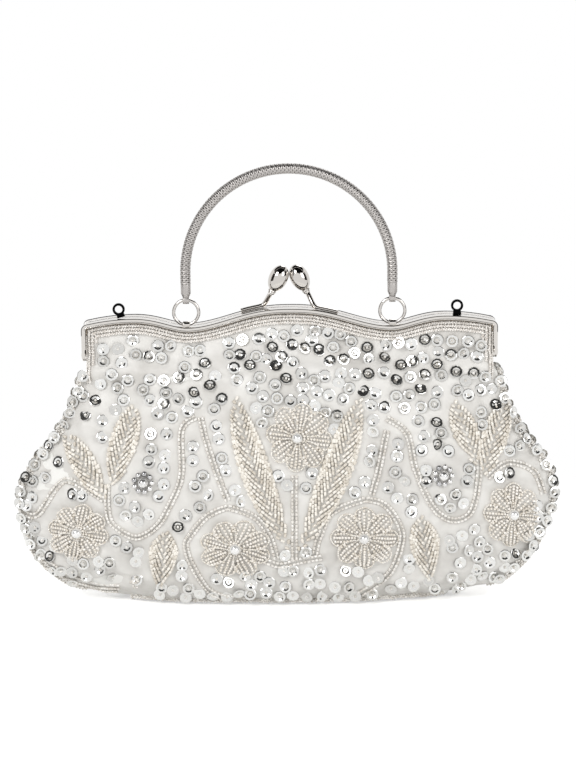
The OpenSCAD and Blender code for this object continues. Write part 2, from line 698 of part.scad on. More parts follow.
// The strip of a frame half, with its turned-down edges and the wall that the cloth is sewn to
module frame_strip() {
    difference() {
        across(front_y, -mid_gap)
            polygon(concat(full_path(0, lip_low), backwards(full_path(lip_h, lip_low))));
        across(front_y + lip_t, -mid_gap - lip_t)
            polygon(concat(full_path(web_t, lip_low - cut_over), backwards(full_path(lip_h + cut_over, lip_low - cut_over))));
        for (side = [-1, 1])
            translate([side * leg_x - lip_h - cut_over, front_y + lip_t, lip_low - cut_over])
                cube([2 * (lip_h + cut_over), half_d, inner_lip_low - lip_low + cut_over]);
    }
    across(-wall_y - wall_t / 2, -wall_y + wall_t / 2)
        polygon(concat(
            [for (i = [-wave_steps : wave_steps]) let (x = wall_end_x * i / wave_steps) [x, wave(x) - web_t / 2]],
            [for (i = [wave_steps : -1 : -wave_steps]) let (x = wall_end_x * i / wave_steps) [x, wave(x) - wall_h]]
        ));
    for (side = [0, 1]) mirror([side, 0, 0])
        translate([leg_x - leg_wall_w, -wall_y - wall_t / 2, leg_wall_low])
            cube([leg_wall_w - web_t / 2, wall_t, corner_z() - corner_r - leg_wall_low]);
}

// The outline of a hinge ear in Y and Z, joined to the leg above it
module ear_outline(leg_low, leg_high) {
    a0 = 215;
    a1 = 395;
    polygon(concat(
        [[front_y, leg_high], [front_y, leg_low]],
        [for (i = [0 : 12]) let (a = a0 + (a1 - a0) * i / 12) [ear_r * cos(a), hinge_z + ear_r * sin(a)]],
        [[-mid_gap, leg_low + ear_r], [-mid_gap, leg_high]]
    ));
}

module along_x(x0, x1) translate([x0, 0, 0]) rotate([90, 0, 90]) linear_extrude(x1 - x0) children();

module hinge_hole(r)
    translate([leg_x / 2, 0, hinge_z]) rotate([0, 90, 0]) cylinder(r = r, h = leg_x, $fn = round_fn);

// Front half: its ears lie outside the back half's
module front_half() {
    frame_strip();
    for (side = [0, 1]) mirror([side, 0, 0])
        difference() {
            along_x(leg_x - web_t, leg_x) ear_outline(hinge_z + ear_r * 0.5, inner_lip_low + web_t);
            hinge_hole(rivet_r + seat_gap);
        }
}

// Back half: its ears are joggled inwards, past the front half's
module back_half() {
    difference() {
        frame_strip();
        for (side = [-1, 1])
            translate([side * leg_x - lip_h - cut_over, front_y - cut_over, lip_low - cut_over])
                cube([2 * (lip_h + cut_over), half_d + 2 * cut_over, inner_lip_low - lip_low + cut_over]);
    }
    for (side = [0, 1]) mirror([side, 0, 0]) {
        difference() {
            along_x(inner_ear_x - web_t, inner_ear_x)
                ear_outline(hinge_z + ear_r * 0.5, inner_lip_low + joggle_h);
            hinge_hole(rivet_r);
        }
        translate([inner_ear_x - web_t, front_y, inner_lip_low])
            cube([leg_x - inner_ear_x + web_t, half_d, joggle_h]);
    }
}

module front_frame() color(chrome) front_half();
module back_frame() color(chrome) to_back() back_half();

// A rivet with domed heads, which joins the two halves' ears
module hinge_rivet() {
    grip = leg_x - rivet_in_x + 2 * seat_gap;
    dome = [for (i = [0 : 6]) let (a = 15 * i) [rivet_head_r * cos(a), head_t * sin(a)]];
    translate([rivet_in_x - seat_gap, 0, hinge_z]) rotate([0, 90, 0])
        rotate_extrude($fn = round_fn)
            polygon(concat(
                [[0, -head_t]],
                [for (i = [6 : -1 : 0]) [dome[i][0], -dome[i][1]]],
                [[rivet_r, 0], [rivet_r, grip]],
                [for (p = dome) [p[0], grip + p[1]]]
            ));
}
module right_hinge_rivet() color(chrome) hinge_rivet();
module left_hinge_rivet() color(chrome) to_left() hinge_rivet();

// The front half's knob leans left and crosses to the back, and the back half's is its mirror
knob_axis = [-sin(knob_lean), 0, cos(knob_lean)];
knob_middle = [knob_x, knob_cross, knob_z];
knob_foot = knob_middle - knob_axis * (knob_l / 2);

// An egg on a short neck, with a blind hole for the arm's rod
module clasp_knob() {
    egg = [for (i = [0 : knob_steps])
        let (a = 180 * i / knob_steps)
        [knob_r * sin(a) * (1 - knob_swell * cos(a)), knob_l / 2 * (1 - cos(a))]];
    aim(knob_foot, knob_middle)
        difference() {
            union() {
                rotate_extrude($fn = round_fn) polygon([for (p = egg) [max(p[0], 0), p[1]]]);
                translate([0, 0, -neck_l / 2]) cylinder(r = neck_r, h = neck_l, $fn = round_fn);
            }
            translate([0, 0, -neck_l]) cylinder(r = rod_r, h = tenon_l + neck_l, $fn = wire_fn);
        }
}

// A point over the frame's strip, along a clasp arm's strap
function strap_point(i, rise) =
    let (x = strap_x + strap_l * i / strap_steps) [x, wave(x) + rise];

// A strap on the frame's strip, a rod that bends up from it and the rod's tenon in the knob
module clasp_arm() {
    bend = [strap_x - rod_r, strip_y, foot_z(strap_x - rod_r, elbow_r) + elbow_r];
    rise = knob_foot - knob_axis * (2 * neck_l);
    across(strip_y - strap_w / 2, strip_y + strap_w / 2)
        polygon(concat(
            [for (i = [0 : strap_steps]) strap_point(i, seat_gap * 2)],
            [for (i = [strap_steps : -1 : 0]) strap_point(i, seat_gap * 2 + strap_t)]
        ));
    rod([strap_x + rod_r, strip_y, bend[2]], bend, rod_r);
    translate(bend) sphere(r = elbow_r, $fn = wire_fn);
    rod(bend, rise, rod_r);
    translate(rise) sphere(r = elbow_r, $fn = wire_fn);
    rod(rise, knob_foot + knob_axis * (tenon_l - neck_l), rod_r);
}

module front_clasp_arm() color(chrome) clasp_arm();
module front_clasp_knob() color(chrome) clasp_knob();
module back_clasp_arm() color(chrome) turned() clasp_arm();
module back_clasp_knob() color(chrome) turned() clasp_knob();

// A flat ring on a flared foot, for a shoulder chain's hook
module chain_eye(x, lean) {
    foot = foot_z(x, eye_foot_w / 2);
    rise = wave(x) + eye_rise - foot;
    translate([x, strip_y, foot]) rotate([0, lean, 0])
        difference() {
            translate([0, eye_t / 2, 0]) rotate([90, 0, 0]) {
                translate([0, rise, 0]) cylinder(r = eye_r, h = eye_t, $fn = round_fn);
                linear_extrude(eye_t) polygon([
                    [-eye_foot_w / 2 * cos(lean), eye_foot_w / 2 * sin(abs(lean))],
                    [eye_foot_w / 2 * cos(lean), eye_foot_w / 2 * sin(abs(lean))],
                    [eye_neck_w / 2, rise],
                    [-eye_neck_w / 2, rise]
                ]);
            }
            translate([0, eye_t, rise]) rotate([90, 0, 0]) cylinder(r = eye_hole_r, h = 2 * eye_t, $fn = round_fn);
        }
}
module left_chain_eye() color(dark_chrome) chain_eye(-eye_x, -left_eye_lean);
module right_chain_eye() color(dark_chrome) chain_eye(eye_x, 0);

// A saddle on the frame's strip that holds a ring's wire
module ring_lug() {
    foot = foot_z(valley_x, lug_w / 2);
    difference() {
        translate([valley_x - lug_w / 2, strip_y, 0]) {
            translate([0, 0, pivot_z]) rotate([0, 90, 0])
                cylinder(r = lug_bore_r + lug_wall, h = lug_w, $fn = round_fn);
            translate([0, -lug_base_w / 2, foot]) cube([lug_w, lug_base_w, lug_wall]);
        }
        translate([valley_x - lug_w, strip_y, pivot_z]) rotate([0, 90, 0])
            cylinder(r = lug_bore_r, h = 2 * lug_w, $fn = round_fn);
        translate([valley_x - lug_w, strip_y - lug_base_w, foot - pivot_z]) cube([2 * lug_w, 2 * lug_base_w, pivot_z]);
    }
}
module right_ring_lug() color(chrome) ring_lug();
module left_ring_lug() color(chrome) to_left() ring_lug();

module handle_ring()
    translate([valley_x, strip_y, pivot_z + ring_r]) rotate([90, 0, 0])
        rotate_extrude($fn = round_fn) translate([ring_r, 0]) circle(r = wire_r, $fn = wire_fn);
module right_handle_ring() color(chrome) handle_ring();
module left_handle_ring() color(chrome) to_left() handle_ring();

// An end cap: a loop round the ring's wire, a tapered cup and a spigot in the chain's bore
module handle_cap()
    translate([valley_x, strip_y, ring_top_z]) {
        difference() {
            union() {
                translate([-loop_w / 2, 0, 0]) rotate([0, 90, 0])
                    cylinder(r = loop_bore_r + loop_t, h = loop_w, $fn = round_fn);
                translate([0, 0, cap_low_z - ring_top_z])
                    cylinder(r1 = cap_neck_r, r2 = cap_r, h = cap_taper_l, $fn = round_fn);
            }
            translate([-loop_w, 0, 0]) rotate([0, 90, 0]) cylinder(r = loop_bore_r, h = 2 * loop_w, $fn = round_fn);
        }
        translate([0, 0, cap_low_z - ring_top_z + cap_taper_l])
            cylinder(r = cap_r, h = cap_l - cap_taper_l, $fn = round_fn);
        translate([0, 0, cap_top_z - ring_top_z]) cylinder(r = chain_bore_r, h = spigot_l, $fn = round_fn);
    }
module right_handle_cap() color(chrome) handle_cap();
module left_handle_cap() color(chrome) to_left() handle_cap();

// The arched tube of snake chain, with its straight ends over the caps
module snake_chain()
    color(chrome) translate([0, strip_y, 0]) {
        translate([0, 0, arch_z]) rotate([90, 0, 0])
            rotate_extrude(angle = 180, $fn = 2 * round_fn) translate([arch_r, 0]) difference() {
                circle(r = chain_r, $fn = wire_fn);
                circle(r = chain_bore_r, $fn = wire_fn);
            }
        for (side = [-1, 1])
            translate([side * arch_r, 0, cap_top_z]) difference() {
                cylinder(r = chain_r, h = leg_l, $fn = wire_fn);
                translate([0, 0, -cut_over]) cylinder(r = chain_bore_r, h = leg_l + 2 * cut_over, $fn = wire_fn);
            }
    }

front_panel();
back_panel();
front_padding();
back_padding();
front_lining();
back_lining();
front_yoke();
back_yoke();
front_lining_yoke();
back_lining_yoke();
front_bead_border();
back_bead_border();
left_seam_trim();
right_seam_trim();
front_flowers();
back_flowers();
front_leaves();
back_leaves();
front_vines();
back_vines();
front_sequins();
back_sequins();
front_crystals();
back_crystals();
front_frame();
back_frame();
left_hinge_rivet();
right_hinge_rivet();
front_clasp_arm();
back_clasp_arm();
front_clasp_knob();
back_clasp_knob();
left_chain_eye();
right_chain_eye();
left_ring_lug();
right_ring_lug();
left_handle_ring();
right_handle_ring();
left_handle_cap();
right_handle_cap();
snake_chain();
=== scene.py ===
"""Beaded evening clutch with a kiss-lock frame: its looks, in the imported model's own frame, in metres."""

import logging
import math
from collections.abc import Sequence
from dataclasses import dataclass, field
from enum import Enum
from functools import cached_property
from itertools import accumulate

import bmesh
import bpy
import numpy as np
from bmesh.types import BMesh
from bpy.types import ID, Material, Mesh, Node, NodeSocket, NodeTree, Object
from mathutils import Matrix, Vector, noise
from mathutils.bvhtree import BVHTree
from mathutils.kdtree import KDTree

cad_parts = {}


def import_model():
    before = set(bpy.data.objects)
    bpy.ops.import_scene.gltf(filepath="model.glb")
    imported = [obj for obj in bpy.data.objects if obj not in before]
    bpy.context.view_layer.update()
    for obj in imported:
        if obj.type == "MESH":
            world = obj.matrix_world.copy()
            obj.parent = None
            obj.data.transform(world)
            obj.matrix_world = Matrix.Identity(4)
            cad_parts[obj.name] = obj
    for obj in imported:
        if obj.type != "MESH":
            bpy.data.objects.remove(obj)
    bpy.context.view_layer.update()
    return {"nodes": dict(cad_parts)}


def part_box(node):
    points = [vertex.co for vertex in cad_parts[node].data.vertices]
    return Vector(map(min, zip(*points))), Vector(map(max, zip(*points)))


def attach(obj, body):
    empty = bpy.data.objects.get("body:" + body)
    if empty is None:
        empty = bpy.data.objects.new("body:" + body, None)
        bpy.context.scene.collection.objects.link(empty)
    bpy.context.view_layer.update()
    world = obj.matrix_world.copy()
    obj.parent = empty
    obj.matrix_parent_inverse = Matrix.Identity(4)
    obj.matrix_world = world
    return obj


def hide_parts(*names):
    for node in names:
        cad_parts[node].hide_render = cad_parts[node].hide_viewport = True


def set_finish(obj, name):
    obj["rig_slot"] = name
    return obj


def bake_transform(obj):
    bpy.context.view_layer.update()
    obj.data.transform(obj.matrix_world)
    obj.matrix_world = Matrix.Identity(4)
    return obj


LOG = logging.getLogger("evening_clutch")
MM = 0.001
# Height of a sequin's cup, and of the bead that holds it, over the sequin's seat
CUP_RISE = 0.7 * MM
# Nothing of a scattered piece lies lower
FLOOR_GAP = 0.05 * MM
# Lengths below this count as none
TINY = 1e-9
Pair = tuple[float, float]
Triple = tuple[float, float, float]
Pixel = Pair
Hit = tuple[Vector, Vector]


def linear(hex_code: str) -> tuple[float, float, float, float]:
    """Turn an sRGB hex colour into linear values with full alpha."""
    parts = [int(hex_code[i:i + 2], 16) / 255 for i in (1, 3, 5)]
    return (*[c / 12.92 if c <= 0.04045 else ((c + 0.055) / 1.055) ** 2.4 for c in parts], 1.0)


def feed(node: Node, values: dict | None = None, links: dict | None = None) -> Node:
    """Set a node's inputs.

    Args:
        node: The node.
        values: Values of input sockets, by name or number.
        links: Output sockets to join to input sockets, by name or number.

    Returns:
        The node.
    """
    for name, value in (values or {}).items():
        node.inputs[name].default_value = value
    for name, source in (links or {}).items():
        node.id_data.links.new(source, node.inputs[name])
    return node


def add_node(tree: NodeTree, kind: str, settings: dict | None = None, values: dict | None = None,
             links: dict | None = None) -> Node:
    """Add one node with its settings, socket values and links.

    Args:
        tree: The node tree.
        kind: The node's type name.
        settings: Properties of the node.
        values: Values of input sockets, by name or number.
        links: Output sockets to join to input sockets, by name or number.

    Returns:
        The new node.
    """
    node = tree.nodes.new(kind)
    for name, value in (settings or {}).items():
        setattr(node, name, value)
    return feed(node, values, links)


def add_math(tree: NodeTree, operation: str, *terms: float | NodeSocket) -> NodeSocket:
    """Add a math node, whose terms are numbers or outputs of other nodes, and return its value."""
    numbers = {i: term for i, term in enumerate(terms) if isinstance(term, (int, float))}
    sockets = {i: term for i, term in enumerate(terms) if i not in numbers}
    return add_node(tree, "ShaderNodeMath", {"operation": operation}, numbers, sockets).outputs["Value"]


def add_grain(tree: NodeTree, source: NodeSocket, scale: float, detail: float,
              roughness: float = 0.5) -> NodeSocket:
    """Add a noise texture with so many cells to a metre, and return its factor."""
    values = {"Scale": scale, "Detail": detail, "Roughness": roughness}
    return add_node(tree, "ShaderNodeTexNoise", values=values, links={"Vector": source}).outputs["Fac"]


def add_bump(tree: NodeTree, height: NodeSocket, strength: float, distance: float) -> NodeSocket:
    """Add a bump whose relief is a distance in metres, and return its normal."""
    values = {"Strength": strength, "Distance": distance}
    return add_node(tree, "ShaderNodeBump", values=values, links={"Height": height}).outputs["Normal"]


def add_range(tree: NodeTree, source: NodeSocket, low: float, high: float) -> NodeSocket:
    """Spread a factor from 0 to 1 over another range, and return the result."""
    values = {"To Min": low, "To Max": high}
    return add_node(tree, "ShaderNodeMapRange", values=values, links={"Value": source}).outputs["Result"]


def add_ramp(tree: NodeTree, source: NodeSocket, low: tuple[float, str],
             high: tuple[float, str]) -> NodeSocket:
    """Add a ramp between two hex colours, each with its place, and return its colour."""
    node = add_node(tree, "ShaderNodeValToRGB", links={"Fac": source})
    for element, (place, hex_code) in zip(node.color_ramp.elements, (low, high)):
        element.position = place
        element.color = linear(hex_code)
    return node.outputs["Color"]


def smoothstep(low: float, high: float, value: float) -> float:
    """Rise smoothly from 0 at low to 1 at high."""
    u = min(max((value - low) / (high - low), 0.0), 1.0)
    return u * u * (3 - 2 * u)


def ring_angles(count: int) -> np.ndarray:
    """Return angles evenly spaced round a circle."""
    return np.linspace(0, 2 * math.pi, count, endpoint=False)


def wrinkle(x: float, z: float, size_x: float, size_z: float, seed: float) -> float:
    """Return smooth noise whose cells have these sizes in millimetres."""
    return noise.noise(Vector((x / (size_x * MM), z / (size_z * MM), seed)))


def running_lengths(places: list[Vector]) -> list[float]:
    """Return how far along a path each of its places lies."""
    return list(accumulate(((b - a).length for a, b in zip(places, places[1:])), initial=0.0))


def search_tree(places: Sequence) -> KDTree:
    """Return a tree that finds the nearest of some places."""
    tree = KDTree(len(places))
    for i, place in enumerate(places):
        tree.insert(place, i)
    tree.balance()
    return tree


def link_object(name: str, data: ID) -> Object:
    """Make an object at the origin and add it to the scene."""
    made = bpy.data.objects.new(name, data)
    bpy.context.scene.collection.objects.link(made)
    return made


def make_mesh(name: str, bm: BMesh, smooth: bool = False) -> Mesh:
    """Turn a bmesh into a mesh.

    Args:
        name: The mesh's name.
        bm: The bmesh, which is freed.
        smooth: Whether every face is to be shaded smooth.

    Returns:
        The mesh.
    """
    if smooth:
        for face in bm.faces:
            face.smooth = True
    mesh = bpy.data.meshes.new(name)
    bm.to_mesh(mesh)
    bm.free()
    return mesh


@dataclass(frozen=True)
class Viewpoint:
    """The photograph's camera: a long lens a little above the bag."""

    lens: float = 137.5
    sensor: float = 36.0
    distance: float = 1.1
    elevation: float = 12.5
    roll: float = 0.6
    target: Triple = (-1 * MM, 0.0, 110.2 * MM)
    frame: tuple[int, int] = (576, 768)
    clip: Pair = (0.01, 20.0)

    def axes(self) -> tuple[Vector, Vector, Vector]:
        """Return the camera's right, up and backward directions."""
        tilt, roll = math.radians(self.elevation), math.radians(self.roll)
        back = Vector((0, -math.cos(tilt), math.sin(tilt)))
        up = Vector((0, math.sin(tilt), math.cos(tilt)))
        right = Vector((1, 0, 0))
        level, aside = math.cos(roll), math.sin(roll)
        return right * level - up * aside, up * level + right * aside, back

    def eye(self) -> Vector:
        """Return the camera's place."""
        return Vector(self.target) + self.axes()[2] * self.distance

    def ray(self, pixel: Pixel) -> tuple[Vector, Vector]:
        """Return the start and direction of the ray through a pixel of the photograph."""
        right, up, back = self.axes()
        focal = self.lens / self.sensor * self.frame[0]
        aside = right * (pixel[0] - self.frame[0] / 2) + up * (self.frame[1] / 2 - pixel[1])
        return self.eye(), (aside / focal - back).normalized()

    def build(self) -> None:
        """Make the camera and set it as the scene's."""
        data = bpy.data.cameras.new("photo_camera")
        data.lens = self.lens
        data.sensor_width = self.sensor
        data.sensor_fit = "HORIZONTAL"
        data.clip_start, data.clip_end = self.clip
        camera = link_object("photo_camera", data)
        camera.matrix_world = Matrix.Translation(self.eye()) @ Matrix(self.axes()).transposed().to_4x4()
        bpy.context.scene.camera = camera


class Side(Enum):
    """The two faces of the bag, each with the frame half that it hangs from."""

    FRONT = "front"
    BACK = "back"

    @property
    def turn(self) -> Matrix:
        """Return the half turn about the upright axis that makes a front piece a back one."""
        return Matrix.Rotation(0 if self is Side.FRONT else math.pi, 4, "Z")

    @property
    def frame_body(self) -> str:
        """Return the body of this side's frame half."""
        return f"{self.value}_frame"


# Finishes

@dataclass(frozen=True)
class Finish:
    """A surface with its own look, for one of the record's material slots."""

    name: str
    slot: str

    @cached_property
    def material(self) -> Material:
        """Return the material, which is made when it is first asked for."""
        made = bpy.data.materials.new(self.name)
        made.use_nodes = True
        self.paint(made.node_tree, made.node_tree.nodes["Principled BSDF"])
        return made

    def paint(self, tree: NodeTree, shader: Node) -> None:
        """Set the shader's inputs, with the nodes that feed them."""
        raise NotImplementedError


@dataclass(frozen=True)
class DuchessSatin(Finish):
    """Polyester duchess satin, woven: a close weave whose floats give a soft broad shine."""

    name: str = "duchess_satin"
    slot: str = "satin"
    face: str = "#e7e5e1"
    shade: str = "#d3d0cb"
    thread_mm: float = 0.35
    roughness: float = 0.4
    # Cells of the clouded tone to a metre, and how much longer a float is than its thread is wide
    clouds: float = 45.0
    float_squeeze: float = 0.22

    def paint(self, tree: NodeTree, shader: Node) -> None:
        """Shade the cloth. The threads are drawn at twice their real spacing, so that they can show."""
        uv = add_node(tree, "ShaderNodeUVMap", {"uv_map": "cloth"}).outputs["UV"]
        cloud = add_grain(tree, uv, self.clouds, 4.0)
        along = add_node(tree, "ShaderNodeMapping", values={"Scale": (self.float_squeeze, 1.0, 1.0)},
                         links={"Vector": uv}).outputs["Vector"]
        floats = add_grain(tree, along, 1 / (self.thread_mm * MM), 2.0, 0.6)
        feed(shader, {"Sheen Weight": 0.15, "Sheen Roughness": 0.4, "IOR": 1.5}, {
            "Base Color": add_ramp(tree, cloud, (0.35, self.shade), (0.62, self.face)),
            "Roughness": add_range(tree, floats, self.roughness - 0.05, self.roughness + 0.1),
            "Normal": add_bump(tree, floats, 0.16, 0.12 * MM)})


@dataclass(frozen=True)
class LustreGlass(Finish):
    """Pressed seed glass with a fired lustre: small bright points over a body that varies by the bead."""

    pale: str
    deep: str
    roughness: float = 0.2
    metallic: float = 0.0
    coat: float = 0.6
    # Patches of lustre to a metre, and how much they and each bead's own tone count
    patches: float = 900.0
    patch_share: float = 0.45
    tone_share: float = 0.75

    def paint(self, tree: NodeTree, shader: Node) -> None:
        """Shade the glass. Lustre pools in patches of about a millimetre."""
        tone = add_node(tree, "ShaderNodeAttribute", {"attribute_name": "tone"}).outputs["Fac"]
        pool = add_grain(tree, add_node(tree, "ShaderNodeTexCoord").outputs["Object"], self.patches, 2.0)
        total = add_math(tree, "MULTIPLY_ADD", tone, self.tone_share,
                         add_math(tree, "MULTIPLY", pool, self.patch_share))
        feed(shader, {"Roughness": self.roughness, "Metallic": self.metallic, "IOR": 1.52,
                      "Coat Weight": self.coat, "Coat Roughness": 0.06},
             {"Base Color": add_ramp(tree, total, (0.15, self.deep), (0.85, self.pale))})


@dataclass(frozen=True)
class FoilFilm(Finish):
    """Vacuum-metallised polyester film, cup-pressed: a mirror that shows black and white by turns."""

    name: str = "silver_sequin_film"
    slot: str = "sequins"
    face: str = "#ececea"
    shade: str = "#d2d1ce"
    roughness: float = 0.07

    def paint(self, tree: NodeTree, shader: Node) -> None:
        """Shade the film. Its clear lacquer keeps the rim pale."""
        tone = add_node(tree, "ShaderNodeAttribute", {"attribute_name": "tone"}).outputs["Fac"]
        feed(shader, {"Metallic": 0.95, "Roughness": self.roughness},
             {"Base Color": add_ramp(tree, tone, (0.0, self.shade), (1.0, self.face))})


@dataclass(frozen=True)
class NickelPlate(Finish):
    """Polished steel with bright nickel plate: a clean mirror, a little worn and smeared by fingers."""

    tint: str
    roughness: float = 0.08
    wear_mm: float = 6.0
    # Polishing lines are about a fifth of a millimetre apart
    lines: float = 5000.0

    def paint(self, tree: NodeTree, shader: Node) -> None:
        """Shade the plate."""
        place = add_node(tree, "ShaderNodeTexCoord").outputs["Object"]
        smear = add_grain(tree, place, 1 / (self.wear_mm * MM), 5.0)
        feed(shader, {"Base Color": linear(self.tint), "Metallic": 1.0}, {
            "Roughness": add_range(tree, smear, self.roughness * 0.6, self.roughness * 1.8),
            "Normal": add_bump(tree, add_grain(tree, place, self.lines, 1.0), 0.04, 0.05 * MM)})


@dataclass(frozen=True)
class PlainCloth(Finish):
    """Spun cloth or felted wadding: matt, with a fine nap."""

    face: str
    thread_mm: float

    def paint(self, tree: NodeTree, shader: Node) -> None:
        """Shade the cloth."""
        uv = add_node(tree, "ShaderNodeUVMap", {"uv_map": "cloth"}).outputs["UV"]
        nap = add_grain(tree, uv, 1 / (self.thread_mm * MM), 3.0)
        feed(shader, {"Base Color": linear(self.face), "Roughness": 0.62, "Sheen Weight": 0.2},
             {"Normal": add_bump(tree, nap, 0.4, 0.2 * MM)})


@dataclass(frozen=True)
class Finishes:
    """Every finish of the bag."""

    satin: Finish = DuchessSatin()
    lining: Finish = PlainCloth("lining_sateen", "lining_satin", "#eceae5", 0.5)
    wadding: Finish = PlainCloth("needled_wadding", "wadding", "#f2f1ed", 0.9)
    seed: Finish = LustreGlass("cream_seed_glass", "seed_beads", "#fffaf3", "#e7dfd2")
    outline: Finish = LustreGlass("pale_seed_glass", "seed_beads", "#fdf9f2", "#ddd4c6")
    leaf: Finish = LustreGlass("ivory_seed_glass", "seed_beads", "#faf5ec", "#cfc6b8")
    rope: Finish = LustreGlass("clear_bugle_glass", "seed_beads", "#f8f5f0", "#d6d0c7", 0.14)
    border: Finish = LustreGlass("champagne_seed_glass", "seed_beads", "#fdf9f4", "#d9d2ca", 0.16)
    # Dark beads of the border's edge row: painted shadow of the frame's lip along the top
    lip_shadow_glass: Finish = LustreGlass("dark_seed_glass_painted_shadow", "seed_beads", "#c9bba8", "#8b7e6f", 0.16)
    polished: Finish = LustreGlass("silvered_glass", "polished_beads", "#f0efee", "#a3a3a5", 0.05, 0.85)
    crystal: Finish = LustreGlass("cut_crystal", "polished_beads", "#fbfbfa", "#e6e5e3", 0.06, 0.45)
    sequin: Finish = FoilFilm()
    frame: Finish = NickelPlate("frame_nickel", "frame_chrome", "#dedad5")
    # A dark plate for the thin rib along the top of the front strip: a painted shadow line between the
    # frame's two halves
    painted_shadow_plate: Finish = NickelPlate("dark_nickel_painted_shadow", "frame_chrome", "#5a5856", 0.25)
    clasp: Finish = NickelPlate("clasp_nickel", "clasp_chrome", "#d3cfca", 0.04)
    eye: Finish = NickelPlate("eye_black_nickel", "eye_chrome", "#0d0d0e", 0.2)
    ring: Finish = NickelPlate("ring_nickel", "ring_chrome", "#d3cfcb", 0.06)
    chain: Finish = NickelPlate("chain_nickel", "chain_chrome", "#c4c0bd", 0.36)


# The bag's form, with the source's own sizes and formulas

